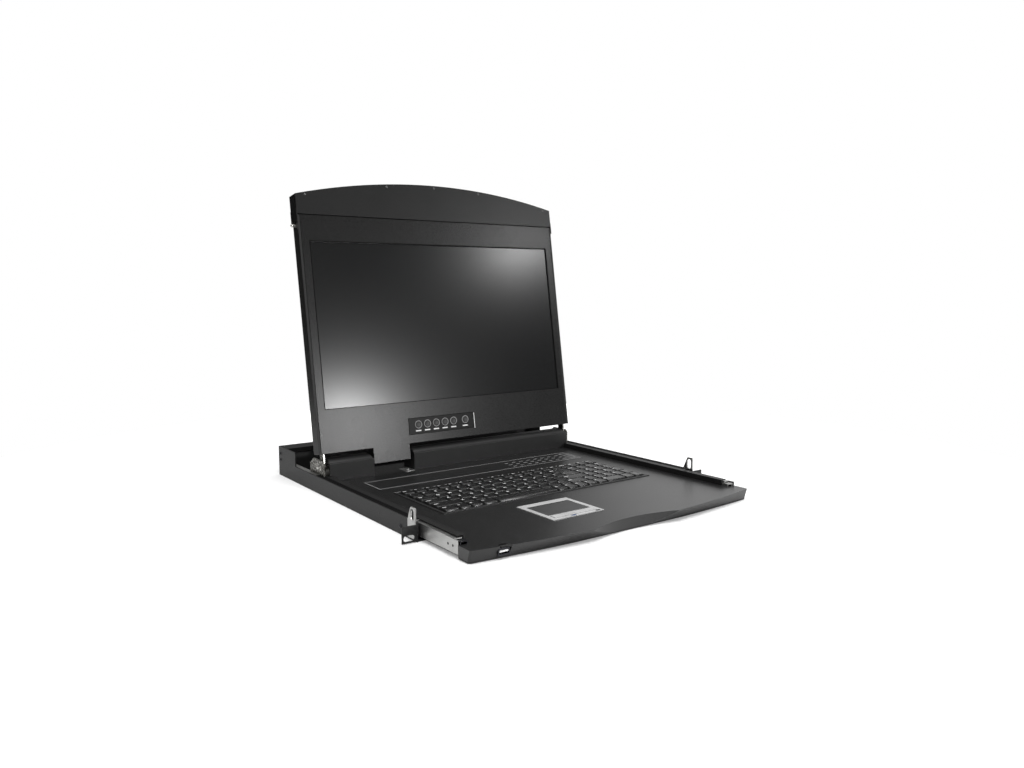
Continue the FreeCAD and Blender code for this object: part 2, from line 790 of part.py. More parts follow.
def palm_deck():
    half = drawer_inside - deck_side_gap
    plate = box(-half, half, lip_rear - 1, drawer_rear - drawer_sheet, deck_bottom, deck_top)
    lip = Part.makeLoft([lip_outline(drawer_bottom, lip_bottom_end, lip_bottom_bulge),
                         lip_outline(deck_top, lip_top_end, lip_top_bulge)], True, True)
    deck = join([plate, lip])
    window = keys_half_width + key_side_gap + keyboard_wall + keyboard_fit
    z0 = drawer_bottom - 1
    z1 = deck_top + 1
    room = key_side_gap + keyboard_wall + keyboard_fit
    cuts = [lip_scoop(), lip_hollow(),
            box(-window, window, keys_front - room, keys_rear + room, deck_bottom - 1, z1),
            box(-strip_half_width, strip_half_width, strip_front, strip_front + strip_depth,
                deck_top - strip_recess, z1),
            box(pad_centre_x - pad_width / 2 + pad_rim - pad_fit, pad_centre_x + pad_width / 2 - pad_rim + pad_fit,
                pad_front + pad_rim - pad_fit, pad_front + pad_depth - pad_rim + pad_fit, deck_bottom - 1, z1),
            box(usb_x - usb_width / 2 - usb_fit, usb_x + usb_width / 2 + usb_fit,
                usb_front - 20, lip_rear - lip_wall, usb_z - usb_height / 2 - usb_fit,
                usb_z + usb_height / 2 + usb_fit),
            box(usb_x - usb_width / 2 - usb_collar - usb_fit, usb_x + usb_width / 2 + usb_collar + usb_fit,
                usb_front - 20, usb_front + usb_collar, usb_z - usb_height / 2 - usb_collar - usb_fit,
                usb_z + usb_height / 2 + usb_collar + usb_fit),
            rod_z(usb_x, usb_front - 6.5, usb_z + usb_height / 2 + usb_collar, z1, 8.0)]
    return deck.cut(cuts)


def usb_port():
    socket = usb_socket(usb_width, usb_height, usb_length)
    collar = box(-usb_width / 2 - usb_collar, usb_width / 2 + usb_collar, 0, usb_collar - usb_fit,
                 -usb_height / 2 - usb_collar, usb_height / 2 + usb_collar)
    mouth = box(-usb_width / 2 + usb_wall, usb_width / 2 - usb_wall, -1, usb_collar + 1,
                -usb_height / 2 + usb_wall, usb_height / 2 - usb_wall)
    port = join([socket, collar.cut(mouth)])
    port.translate(Vector(usb_x, usb_front, usb_z))
    return port


# ================================================================ keyboard
def keyboard_frame():
    """Open-topped tub that holds the keys: floor, walls through the deck, rim on the deck."""
    inner = keys_half_width + key_side_gap
    outer = inner + keyboard_wall
    y0 = keys_front - key_side_gap
    y1 = keys_rear + key_side_gap
    walls = box(-outer, outer, y0 - keyboard_wall, y1 + keyboard_wall, keyboard_floor, deck_top)
    rim = box(-inner - keyboard_rim, inner + keyboard_rim, y0 - keyboard_rim, y1 + keyboard_rim,
              deck_top, deck_top + keyboard_rim_height)
    hollow = box(-inner, inner, y0, y1, keyboard_floor + keyboard_wall, deck_top + keyboard_rim_height + 1)
    return join([walls, rim]).cut(hollow)


# Key widths in key units from left to right: the main block, then the number pad.
key_layout = (
    ((1.25, 1, 1, 1.25, 5.5, 1, 1, 1, 1, 1), (2, 1, 1)),
    ((2.25,) + (1,) * 10 + (1.75, 1), (1, 1, 1, 1)),
    ((1.75,) + (1,) * 11 + (2.25,), (1, 1, 1, 1)),
    ((1.5,) + (1,) * 12 + (1.5,), (1, 1, 1, 1)),
    ((1,) * 13 + (2,), (1, 1, 1, 1)),
    ((1,) * 15, (1, 1, 1, 1)),
)


def row_span(row):
    """Front and rear edge of a key row, counted from the front."""
    y0 = keys_front + row * key_pitch_y
    if row < key_rows:
        return y0, y0 + key_pitch_y - key_gap
    y0 = y0 + function_key_gap
    return y0, y0 + function_key_depth


def key_cap(x0, x1, y0, y1):
    """Key with drafted sides."""
    d = key_draft
    low = Part.makePolygon([Vector(x0, y0, key_skirt_bottom), Vector(x1, y0, key_skirt_bottom),
                            Vector(x1, y1, key_skirt_bottom), Vector(x0, y1, key_skirt_bottom),
                            Vector(x0, y0, key_skirt_bottom)])
    high = Part.makePolygon([Vector(x0 + d, y0 + d, key_top), Vector(x1 - d, y0 + d, key_top),
                             Vector(x1 - d, y1 - d, key_top), Vector(x0 + d, y1 - d, key_top),
                             Vector(x0 + d, y0 + d, key_top)])
    return Part.makeLoft([low, high], True, True)


def key_row(row):
    """One row of keys, tied by the thin strip that carries them."""
    y0, y1 = row_span(row)
    x = -keys_half_width
    caps = []
    for block in key_layout[row]:
        for units in block:
            width = units * key_unit
            caps.append(key_cap(x + key_gap / 2, x + width - key_gap / 2, y0, y1))
            x = x + width
    middle = (y0 + y1) / 2
    reach = keys_half_width + key_side_gap - key_link_gap
    link = box(-reach, reach, middle - key_link_width / 2, middle + key_link_width / 2,
               key_skirt_bottom - key_link, key_skirt_bottom)
    return join([link] + caps)


def controller_board():
    floor = drawer_bottom + drawer_sheet
    z0 = floor + controller_rise
    z1 = z0 + board_thickness
    half = controller_half_width
    rear = controller_front + controller_depth
    board = box(-half, half, controller_front, rear, z0, z1)
    inset = controller_foot_inset
    feet = [rod_z(x, y, floor, z0, standoff_radius) for x in (inset - half, half - inset)
            for y in (controller_front + inset, rear - inset)]
    chip = box(-controller_chip / 2, controller_chip / 2, controller_front + controller_chip,
               controller_front + 2 * controller_chip, z1, z1 + controller_chip_height)
    plug = box(half / 2, half / 2 + controller_plug_width, rear - inset - controller_plug_depth,
               rear - inset, z1, z1 + controller_plug_height)
    return join([board, chip, plug] + feet)


def status_strip():
    return box(-strip_half_width, strip_half_width, strip_front, strip_front + strip_depth,
               deck_top - strip_recess, deck_top - strip_recess + strip_thickness)


# ================================================================ touch pad
def button_span(side):
    inner = pad_centre_x + side * button_gap / 2
    outer = pad_centre_x + side * pad_surface_width / 2
    return sorted((inner, outer))


def touchpad_frame():
    x0 = pad_centre_x - pad_width / 2
    x1 = pad_centre_x + pad_width / 2
    y1 = pad_front + pad_depth
    rim = box(x0, x1, pad_front, y1, deck_top, deck_top + pad_rim_height)
    body = box(x0 + pad_rim, x1 - pad_rim, pad_front + pad_rim, y1 - pad_rim, pad_floor, deck_top)
    seat = deck_top + pad_rim_height - pad_surface_drop - pad_plate
    above = deck_top + pad_rim_height + 1
    window = box(pad_centre_x - pad_surface_width / 2, pad_centre_x + pad_surface_width / 2,
                 pad_surface_front, pad_surface_front + pad_surface_depth, seat, above)
    well = box(pad_centre_x - pad_surface_width / 2 - button_gap,
               pad_centre_x + pad_surface_width / 2 + button_gap,
               button_front - button_gap, button_front + button_depth + button_gap,
               pad_floor + pad_plate, above)
    return join([rim, body]).cut([window, well])


def touchpad_surface():
    top = deck_top + pad_rim_height - pad_surface_drop
    return box(pad_centre_x - pad_surface_width / 2, pad_centre_x + pad_surface_width / 2,
               pad_surface_front, pad_surface_front + pad_surface_depth, top - pad_plate, top)


def touchpad_button(side):
    x0, x1 = button_span(side)
    top = deck_top + pad_rim_height + button_rise
    return box(x0, x1, button_front, button_front + button_depth, top - button_height, top)


# ================================================================ hinge
def hinge_cover(x0, x1):
    """Folded sheet box over the hinge, open at its outer end, seen from the front."""
    rim = drawer_web_top + cover_rim_gap
    step = drawer_inside - deck_side_gap
    low = max(x0, -step)
    high = min(x1, step)
    outline = [(high, cover_front, deck_top), (low, cover_front, deck_top)]
    if x0 < -step:
        outline = outline + [(low, cover_front, rim), (x0, cover_front, rim)]
    outline = outline + [(x0, cover_front, cover_top), (x1, cover_front, cover_top)]
    if x1 > step:
        outline = outline + [(x1, cover_front, rim), (high, cover_front, rim)]
    front = prism(outline, (0, cover_sheet, 0))
    top = box(x0, x1, cover_front, cover_rear, cover_top - cover_sheet, cover_top)
    rear = box(max(x0, -cover_closed_to), min(x1, cover_closed_to), cover_rear - cover_sheet, cover_rear,
               deck_top, cover_top)
    inner_end = x1 if x0 < -step else x0
    e0, e1 = sorted((inner_end, inner_end - math.copysign(cover_sheet, inner_end - (x0 + x1) / 2)))
    end = box(e0, e1, cover_front, cover_rear, deck_top, cover_top)
    cover = join([front, top, rear, end])
    corner = [edge for edge in cover.Edges
              if abs(edge.CenterOfMass.y - cover_front) < 0.01 and abs(edge.CenterOfMass.z - cover_top) < 0.01]
    return cover.makeFillet(cover_bend - cover_sheet / 2, corner)


def hinge_bracket():
    """Steel bracket on the drawer: outer plate, foot on the rim and an inner lug, bored for the shaft."""
    z0 = drawer_web_top
    plate = prism([(bracket_inner, bracket_front, z0), (bracket_inner, bracket_rear, z0),
                   (bracket_inner, bracket_rear, z0 + 12), (bracket_inner, bracket_rear - 12, bracket_top),
                   (bracket_inner, bracket_front + 4, bracket_top), (bracket_inner, bracket_front, bracket_top - 4)],
                  (bracket_plate, 0, 0))
    foot = box(bracket_lug, bracket_inner, bracket_foot_front, bracket_rear, z0, z0 + bracket_plate)
    lug = box(bracket_lug, bracket_lug + bracket_plate, bracket_foot_front, bracket_lug_rear,
              deck_top, bracket_lug_top)
    bore = rod_x(bracket_lug - 1, bracket_outer + 1, hinge_y, hinge_z, shaft_radius + shaft_fit)
    holes = [rod_z(x, y, z0 - 1, z0 + bracket_plate + 1, screw_shank + screw_fit)
             for x, y in bracket_screw_places()]
    return join([plate, foot, lug]).cut([bore] + holes)


def bracket_screw_places():
    return [(bracket_lug + 6, bracket_rear - 14), (bracket_lug + 6, bracket_rear - 5)]


def hinge_shaft():
    """Shaft with the arm that carries the screen, drawn upright on its own axis."""
    arm_outer = arm_inner + arm_thickness
    inside = -screen_back + shell_wall
    shaft = rod_x(shaft_inner_end, bracket_outer + shaft_head, 0, 0, shaft_radius)
    head = rod_x(bracket_outer + shaft_fit * 2, bracket_outer + shaft_head, 0, 0, shaft_head_radius)
    eye = rod_x(arm_inner, arm_outer, 0, 0, arm_radius)
    neck = slab(arm_inner, arm_outer, 0, arm_foot_start, -6, 6)
    arm = slab(arm_inner, arm_outer, arm_foot_start, arm_length, inside, 6)
    foot = slab(arm_foot_inner, arm_outer, arm_foot_start, arm_length, inside, inside + 2)
    return join([shaft, head, eye, neck, arm, foot])


# ================================================================ screen
def rear_shell():
    outer = slab(-screen_half_width, screen_half_width, screen_bottom, screen_top,
                 -screen_back, screen_front - shell_front_step)
    back_edges = [edge for edge in outer.Edges
                  if abs(edge.CenterOfMass.y - screen_back) < 0.01 and edge.CenterOfMass.z < screen_top - 1]
    outer = outer.makeFillet(shell_radius, back_edges)
    hollow = slab(-shell_inside, shell_inside, screen_bottom + shell_wall, screen_top - shell_wall,
                  -screen_back + shell_wall, screen_front + 1)
    tab = slab(tab_left, tab_right, tab_bottom, screen_bottom + shell_wall, -tab_back, bezel_back)
    tab_hollow = slab(tab_left + tab_wall, tab_right - tab_wall, tab_bottom + tab_wall,
                      screen_bottom + shell_wall, -tab_back + tab_wall, bezel_back + 1)
    rims = [slab(side * screen_half_width - shell_edge * (side + 1) / 2,
                 side * screen_half_width + shell_edge * (1 - side) / 2, screen_bottom, screen_top,
                 bezel_back, screen_front - shell_front_step) for side in (-1, 1)]
    guides = []
    for side in (-1, 1):
        x0, x1 = sorted((side * pin_guide_inner, side * (pin_guide_inner + pin_guide_length)))
        guides.append(slab(x0, x1, pin_s - pin_guide_half, pin_s + pin_guide_half,
                           -screen_back + shell_wall, pin_guide_half - 2))
    seat = slab(-screen_half_width + shell_edge, screen_half_width - shell_edge, screen_bottom - 1,
                screen_top + 1, bezel_back, screen_front + 1)
    shell = outer.cut([hollow, seat]).fuse([tab] + rims + guides).cut(tab_hollow)
    cuts = []
    for side in (-1, 1):
        x0, x1 = sorted((side * (pin_guide_inner - 1), side * (screen_half_width + 1)))
        cuts.append(rod_x(x0, x1, 0, pin_s, pin_radius + pin_fit))
        x0, x1 = sorted((side * (arm_inner - 0.3), side * (arm_inner + arm_thickness + 0.3)))
        cuts.append(slab(x0, x1, screen_bottom - 1, screen_bottom + shell_wall, -6.3, 6.3))
    for x, s in back_screw_places():
        cuts.append(rod_y(x, screen_back - shell_wall - 1, screen_back + 1, s, back_screw_shank + back_screw_fit))
    return shell.cut(cuts).removeSplitter()


def back_screw_places():
    x = screen_half_width - back_screw_inset
    low = screen_bottom + back_screw_low
    high = screen_top - back_screw_high
    return [(-x, low), (-x, high), (x, low), (x, high)]


def lcd_bezel():
    half = screen_half_width - shell_edge - bezel_gap
    plate = slab(-half, half, screen_bottom + bezel_gap, screen_top - bezel_gap, bezel_back, screen_front)
    tab = slab(tab_left, tab_right, tab_bottom, screen_bottom + 1, bezel_back, screen_front)
    window = slab(-view_half_width, view_half_width, view_bottom, view_top, bezel_back - 1, screen_front + 1)
    recess = slab(osd_left, osd_right, osd_bottom, osd_bottom + osd_height,
                  screen_front - osd_recess, screen_front + 1)
    holes = [rod_y(x, -screen_front - 1, -bezel_back + 1, osd_button_s, osd_button_radius + osd_button_gap)
             for x in osd_button_x]
    return join([plate, tab]).cut([window, recess] + holes)


def lcd_panel():
    return slab(-cell_half_width, cell_half_width, cell_bottom, cell_bottom + cell_height,
                bezel_back - cell_thickness, bezel_back)


def lcd_board():
    back = -screen_back + shell_wall
    board = slab(-board_half_width, board_half_width, board_bottom, board_bottom + board_height,
                 back + board_standoff, back + board_standoff + board_thickness)
    posts = []
    for x in (-board_half_width + 6, board_half_width - 6):
        for s in (board_bottom + 6, board_bottom + board_height - 6):
            posts.append(rod_y(x, -back - board_standoff, -back, s, 3.0))
    chip = slab(-14, 14, board_bottom + 40, board_bottom + 68, back + board_standoff + board_thickness,
                back + board_standoff + board_thickness + 1.8)
    return join([board, chip] + posts)


def osd_plate():
    plate = slab(osd_left, osd_right, osd_bottom, osd_bottom + osd_height,
                 screen_front - osd_recess, screen_front + osd_plate_rise)
    holes = [rod_y(x, -screen_front - 1, -screen_front + 1, osd_button_s, osd_button_radius + osd_button_gap)
             for x in osd_button_x]
    return plate.cut(holes)


def osd_button(x):
    cap = rod_y(x, -screen_front - osd_button_rise, -bezel_back + 0.3, osd_button_s, osd_button_radius)
    flange = rod_y(x, -bezel_back + 0.3, -bezel_back + 0.3 + osd_flange, osd_button_s, osd_flange_radius)
    return join([cap, flange])


def cap_outline(inset, n):
    """Outline of the arched cap at depth n, drawn in from every edge but the lower one."""
    w = cap_half_width - inset
    end = cap_end - inset
    crown = cap_end + cap_sagitta - inset
    low_l = Vector(-w, -n, screen_top)
    low_r = Vector(w, -n, screen_top)
    end_r = Vector(w, -n, end)
    end_l = Vector(-w, -n, end)
    edges = [Part.LineSegment(low_l, low_r).toShape(), Part.LineSegment(low_r, end_r).toShape(),
             Part.Arc(end_r, Vector(0, -n, crown), end_l).toShape(), Part.LineSegment(end_l, low_l).toShape()]
    return Part.Face(Part.Wire(edges))


def cap_screw_places():
    end = cap_half_width - cap_screw_end_inset
    return [(x, cap_end + cap_sagitta - arch_drop(x, cap_half_width, cap_sagitta) - cap_screw_inset)
            for x in (-end, -cap_screw_pitch, 0, cap_screw_pitch, end)]


def top_cap():
    n0 = -screen_back - cap_proud
    n1 = screen_front + cap_proud
    outer = cap_outline(0, n1).extrude(Vector(0, n1 - n0, 0))
    hollow = cap_outline(cap_wall * 2, n1 - cap_wall).extrude(Vector(0, n1 - n0 - 2 * cap_wall, 0))
    tabs = []
    for side in (-1, 1):
        x0, x1 = sorted((side * screen_half_width, side * (screen_half_width + cap_tab_thickness)))
        tabs.append(slab(x0, x1, screen_top - cap_tab_length, screen_top + 6, n0, n1))
    holes = [rod_y(x, -n1 - 1, -n1 + cap_wall + 0.5, s, cap_screw_radius / 2 + screw_fit)
             for x, s in cap_screw_places()]
    return join([outer.cut(hollow)] + tabs).cut(holes)


def lock_pin():
    """Spring pin through the side of the screen, with a collar that stops it and a tapered tip."""
    body = rod_x(pin_inner_end, pin_tip - pin_tip_taper, 0, pin_s, pin_radius)
    tip = Part.makeCone(pin_radius, pin_radius - pin_tip_taper, pin_tip_taper,
                        Vector(pin_tip - pin_tip_taper, 0, pin_s), Vector(1, 0, 0))
    stop = shell_inside - pin_collar_gap
    collar = rod_x(stop - pin_collar_length, stop, 0, pin_s, pin_collar_radius)
    return join([body, tip, collar])


# ================================================================ fasteners
def side_screw(y, z, x_head, x_end, head):
    """Screw along X on the right-hand side, its head facing away from its end."""
    side = 1 if x_head > x_end else -1
    shank = rod_x(min(x_end, x_head), max(x_end, x_head), y, z, screw_shank)
    cap = rod_x(min(x_head, x_head + side * screw_head_height), max(x_head, x_head + side * screw_head_height),
                y, z, head)
    return join([shank, cap])


def housing_screws():
    right = [side_screw(y, slide_screw_z, slide_web, wall_outer, screw_head) for y in slide_screw_y]
    right.append(side_screw(slide_pin_y, slide_pin_z, wall_outer, slide_web, small_screw_head))
    right = right + [side_screw(rivet_y, z, wall_outer + lock_plate_thickness, wall_inner, small_screw_head)
                     for z in rivet_z]
    right = right + [side_screw(housing_rear - panel_ear_depth / 2, z, wall_outer,
                                wall_inner - housing_sheet, small_screw_head) for z in panel_screw_z]
    return Part.makeCompound(right + [mirrored(screw) for screw in right])


def drawer_screws():
    right = []
    for y in inner_screw_y:
        shank = rod_x(drawer_inside, drawer_half_width + slide_sheet, y, inner_screw_z, screw_shank)
        head = rod_x(drawer_inside - screw_head_height, drawer_inside, y, inner_screw_z, small_screw_head)
        right.append(join([shank, head]))
    top = drawer_web_top + bracket_plate
    for x, y in bracket_screw_places():
        shank = rod_z(x, y, drawer_web_top, top, screw_shank)
        head = rod_z(x, y, top, top + screw_head_height, small_screw_head)
        right.append(join([shank, head]))
    return Part.makeCompound(right + [mirrored(screw) for screw in right])


def lcd_screws():
    n1 = screen_front + cap_proud
    screws = []
    for x, s in cap_screw_places():
        shank = rod_y(x, -n1, -n1 + cap_wall, s, cap_screw_radius / 2)
        head = rod_y(x, -n1 - cap_screw_rise, -n1, s, cap_screw_radius)
        screws.append(join([shank, head]))
    for x, s in back_screw_places():
        shank = rod_y(x, screen_back - shell_wall, screen_back, s, back_screw_shank)
        head = rod_y(x, screen_back, screen_back + back_screw_rise, s, small_screw_head)
        screws.append(join([shank, head]))
    return Part.makeCompound(screws)


# ================================================================ assembly
pair("side_rail", side_rail())
pair("lock_plate", lock_plate())
pair("slide_outer", slide_outer())
pair("slide_middle", slide_middle())
pair("slide_inner", slide_inner())
pair("hinge_bracket", hinge_bracket())
pair("hinge_shaft", raise_screen(hinge_shaft()))
pair("lock_pin", raise_screen(lock_pin()))
pieces["rear_base"] = rear_base()
pieces["rear_panel"] = rear_panel()
pieces["switch_board"] = rear_circuit(rear_board_left, rear_board_right, switch_chips)
pieces["power_board"] = rear_circuit(supply_left, supply_right, power_chips)
pieces["module_cover"] = module_cover()
pieces["computer_ports"] = computer_ports()
pieces["console_ports"] = console_ports()
pieces["power_inlet"] = power_inlet()
pieces["power_switch"] = power_switch()
pieces["housing_screws"] = housing_screws()
pieces["drawer_base"] = drawer_base()
pieces["palm_deck"] = palm_deck()
pieces["usb_port"] = usb_port()
pieces["keyboard_frame"] = keyboard_frame()
pieces["controller_board"] = controller_board()
pieces["status_strip"] = status_strip()
pieces["touchpad_frame"] = touchpad_frame()
pieces["touchpad_surface"] = touchpad_surface()
pieces["touchpad_button_left"] = touchpad_button(-1)
pieces["touchpad_button_right"] = touchpad_button(1)
pieces["hinge_cover_left"] = hinge_cover(-cover_outer, tab_left - tab_gap)
pieces["hinge_cover_right"] = hinge_cover(tab_right + tab_gap, cover_outer)
pieces["drawer_screws"] = drawer_screws()
for row in range(len(key_layout)):
    pieces["key_row_%d" % (row + 1)] = key_row(row)
pieces["lcd_rear_shell"] = raise_screen(rear_shell())
pieces["lcd_bezel"] = raise_screen(lcd_bezel())
pieces["lcd_panel"] = raise_screen(lcd_panel())
pieces["lcd_board"] = raise_screen(lcd_board())
pieces["osd_plate"] = raise_screen(osd_plate())
pieces["top_cap"] = raise_screen(top_cap())
pieces["lcd_screws"] = raise_screen(lcd_screws())
for number, button_x in enumerate(osd_button_x):
    pieces["osd_button_%d" % (number + 1)] = raise_screen(osd_button(button_x))

extent = Part.makeCompound(list(pieces.values())).BoundBox
to_middle = -(extent.YMin + extent.YMax) / 2

os.makedirs("parts", exist_ok=True)
for name, shape in pieces.items():
    centred = shape.copy()
    centred.translate(Vector(0, to_middle, 0))
    centred.exportStep("parts/%s.step" % name)
print(len(pieces), "pieces, moved along Y by", round(to_middle, 3))
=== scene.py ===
import json
import math
from collections import namedtuple

import bmesh
import bpy
from mathutils import Matrix, Vector


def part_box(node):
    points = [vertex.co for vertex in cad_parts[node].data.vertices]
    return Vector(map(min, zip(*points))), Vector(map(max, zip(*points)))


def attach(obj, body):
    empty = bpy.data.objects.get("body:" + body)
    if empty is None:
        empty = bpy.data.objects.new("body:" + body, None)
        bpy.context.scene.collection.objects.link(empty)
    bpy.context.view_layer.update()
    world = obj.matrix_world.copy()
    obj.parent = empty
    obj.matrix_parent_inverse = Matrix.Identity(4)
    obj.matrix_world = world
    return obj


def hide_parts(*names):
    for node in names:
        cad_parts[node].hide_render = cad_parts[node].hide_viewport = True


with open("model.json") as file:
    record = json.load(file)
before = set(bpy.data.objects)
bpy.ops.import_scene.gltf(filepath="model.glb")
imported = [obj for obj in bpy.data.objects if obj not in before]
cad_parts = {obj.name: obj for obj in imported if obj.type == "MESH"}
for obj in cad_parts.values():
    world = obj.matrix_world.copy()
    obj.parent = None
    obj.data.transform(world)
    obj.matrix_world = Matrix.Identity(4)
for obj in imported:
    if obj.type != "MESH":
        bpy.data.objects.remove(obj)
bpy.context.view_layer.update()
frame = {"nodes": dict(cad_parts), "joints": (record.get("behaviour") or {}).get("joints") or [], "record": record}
MM = 0.001
SIDES = (("left", -1), ("right", 1))
FRONT = (0, -1, 0)
BACK = (0, 1, 0)
UP = (0, 0, 1)
Corner = namedtuple("Corner", "x y z")

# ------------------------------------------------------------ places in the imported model
# Points are given in millimetres: upright ones from the plane of the rack flanges, screen ones
# as (across, behind the hinge plane, up the screen from the hinge axis).
FLANGE_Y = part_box("side_rail_left")[0].y
HINGE = next(joint for joint in frame["joints"] if joint["name"] == "screen_hinge")
TILT = math.radians(-HINGE["range_deg"][0] - 90)
UPRIGHT = Matrix.Translation(Vector((0, FLANGE_Y, 0))) @ Matrix.Scale(MM, 4)
SCREEN = Matrix.Translation(Vector(HINGE["pos_m"])) @ Matrix.Rotation(-TILT, 4, "X")
SCREEN = SCREEN @ Matrix.Scale(MM, 4)


def corners(node, place=UPRIGHT):
    """A node's lowest and highest corner at rest, to a thousandth of a millimetre, in a place."""
    inverse = place.inverted()
    points = [inverse @ vertex.co for vertex in frame["nodes"][node].data.vertices]
    return [Corner(*(round(pick(values), 3) for values in zip(*points))) for pick in (min, max)]


# ------------------------------------------------------------ camera
# In metres: left of the middle, before the rack flanges, above the floor.
CAMERA_LEFT = 0.65679
CAMERA_BEFORE = 0.76885
CAMERA_HEIGHT = 0.27781
# In degrees: below level, and from straight back towards the right.
CAMERA_DIP = 6.943
CAMERA_TURN = 36.392


def set_camera():
    """The view that was fitted to the object's known sizes."""
    data = bpy.data.cameras.new("camera")
    data.sensor_width = 36
    data.lens = 28.944
    data.shift_x = -0.0024
    data.shift_y = 0.0037
    data.clip_start = 0.02
    data.clip_end = 60
    camera = bpy.data.objects.new("camera", data)
    camera.location = (-CAMERA_LEFT, FLANGE_Y - CAMERA_BEFORE, CAMERA_HEIGHT)
    camera.rotation_euler = (math.radians(90 - CAMERA_DIP), 0, math.radians(-CAMERA_TURN))
    bpy.context.scene.collection.objects.link(camera)
    bpy.context.scene.camera = camera
    bpy.context.scene.view_settings.view_transform = "Standard"


# ------------------------------------------------------------ node helpers
MATERIALS = {}


class Nodes:
    """A node tree under construction: each node is added with its settings and inputs."""

    def __init__(self, tree):
        self.tree = tree
        self.tree.nodes.clear()

    def add(self, kind, inputs=None, **settings):
        node = self.tree.nodes.new(kind)
        for key, value in settings.items():
            setattr(node, key, value)
        for key, value in (inputs or {}).items():
            self.feed(node.inputs[key], value)
        return node

    def feed(self, socket, value):
        if isinstance(value, bpy.types.NodeSocket):
            self.tree.links.new(value, socket)
        else:
            socket.default_value = value

    def math(self, operation, a, b):
        return self.add("ShaderNodeMath", {0: a, 1: b}, operation=operation).outputs[0]

    def mapped(self, value, low, high, start=0.3, end=0.7, kind="LINEAR"):
        """The stretch of the value from start to end, spread over low to high."""
        inputs = {"Value": value, "From Min": start, "From Max": end, "To Min": low, "To Max": high}
        return self.add("ShaderNodeMapRange", inputs, interpolation_type=kind).outputs[0]

    def eased(self, value, low, high, start, end):
        """Like mapped, with soft ends."""
        return self.mapped(value, low, high, start, end, "SMOOTHSTEP")

    def seen(self, share):
        """1 for rays from the camera, share for mirrored ones and those through glass, else 0."""
        path = self.add("ShaderNodeLightPath")
        mirrored = self.math("MAXIMUM", path.outputs["Is Glossy Ray"],
                             path.outputs["Is Transmission Ray"])
        return self.math("MAXIMUM", path.outputs["Is Camera Ray"],
                         self.math("MULTIPLY", mirrored, share))


class Shader(Nodes):
    """A material under construction, kept in MATERIALS under its name."""

    def __init__(self, name):
        material = bpy.data.materials.new(name)
        material.use_nodes = True
        super().__init__(material.node_tree)
        self.out = self.add("ShaderNodeOutputMaterial")
        MATERIALS[name] = material

    def surface(self, **inputs):
        bsdf = self.add("ShaderNodeBsdfPrincipled", inputs)
        self.feed(self.out.inputs["Surface"], bsdf.outputs[0])

    def noise(self, size, detail=2.0, stretch=(1, 1, 1), roughness=0.5):
        """Noise with grains about size millimetres across, drawn out along each axis by stretch."""
        place = self.add("ShaderNodeTexCoord").outputs["Object"]
        scale = [1000 / (size * along) for along in stretch]
        place = self.add("ShaderNodeMapping", {"Vector": place, "Scale": scale}).outputs[0]
        made = self.add("ShaderNodeTexNoise", {"Vector": place, "Scale": 1.0, "Detail": detail,
                                               "Roughness": roughness})
        return made.outputs["Fac"]

    def blend(self, factor, a, b):
        mix = self.add("ShaderNodeMix", {"Factor": factor, 6: a, 7: b}, data_type="RGBA")
        return mix.outputs[2]

    def rounded(self, radius):
        return self.add("ShaderNodeBevel", {"Radius": radius * MM}, samples=4).outputs[0]

    def bump(self, height, strength, depth, normal=None):
        inputs = {"Height": height, "Strength": strength, "Distance": depth * MM}
        if normal is not None:
            inputs["Normal"] = normal
        return self.add("ShaderNodeBump", inputs).outputs[0]

    def edge_wear_and_highlight(self, round_normal, strength):
        """Up to strength near sharp edges, where the rounded normal leaves the true one."""
        flat = self.add("ShaderNodeNewGeometry").outputs["True Normal"]
        dot = self.add("ShaderNodeVectorMath", {0: round_normal, 1: flat}, operation="DOT_PRODUCT")
        near = self.mapped(dot.outputs["Value"], 1.0, 0.0, 0.8, 0.99)
        return self.math("MULTIPLY", near, strength)


def grey(level):
    return (level, level, level, 1.0)


def shade(colour, share):
    """The colour with its red, green and blue multiplied by share."""
    return [part * share for part in colour[:3]] + [1.0]


# ------------------------------------------------------------ materials
def coat(name, level, roughness, grain=0.7, strength=0.35, specular=0.4):
    """Fine-textured powder coat: small pits, faint cloudiness and slightly paler edges: wear and painted
    highlight.
    """
    s = Shader(name)
    fine = s.noise(grain, 3.0)
    cloud = s.noise(60.0, 3.0)
    normal = s.rounded(0.5)
    tone = s.blend(s.mapped(cloud, 0.0, 1.0), grey(level * 0.86), grey(level * 1.14))
    speck = s.blend(s.mapped(fine, 0.0, 0.5, 0.55, 0.75), tone, grey(level * 2.2))
    # Paler sharp edges: partly edge wear, partly a painted highlight along the edges.
    worn_and_lit = s.blend(s.edge_wear_and_highlight(normal, 0.35), speck, grey(level * 3.0 + 0.01))
    s.surface(**{"Base Color": worn_and_lit, "Specular IOR Level": specular,
                 "Roughness": s.mapped(fine, roughness - 0.05, roughness + 0.07),
                 "Normal": s.bump(fine, strength, 0.12, normal)})


def metal(name, colour, roughness, streak=(1, 1, 1), size=1.2, strength=0.12):
    """Bare or plated metal with rolling streaks and uneven gloss."""
    s = Shader(name)
    grain = s.noise(size, 4.0, streak)
    cloud = s.noise(18.0, 3.0)
    tone = s.blend(s.mapped(cloud, 0.0, 1.0), shade(colour, 0.88), shade(colour, 1.0))
    tone = s.blend(s.mapped(grain, 0.0, 0.5), tone, shade(colour, 0.76))
    s.surface(**{"Base Color": tone, "Metallic": 1.0,
                 "Roughness": s.mapped(grain, roughness - 0.06, roughness + 0.1),
                 "Normal": s.bump(grain, strength, 0.05, s.rounded(0.3))})


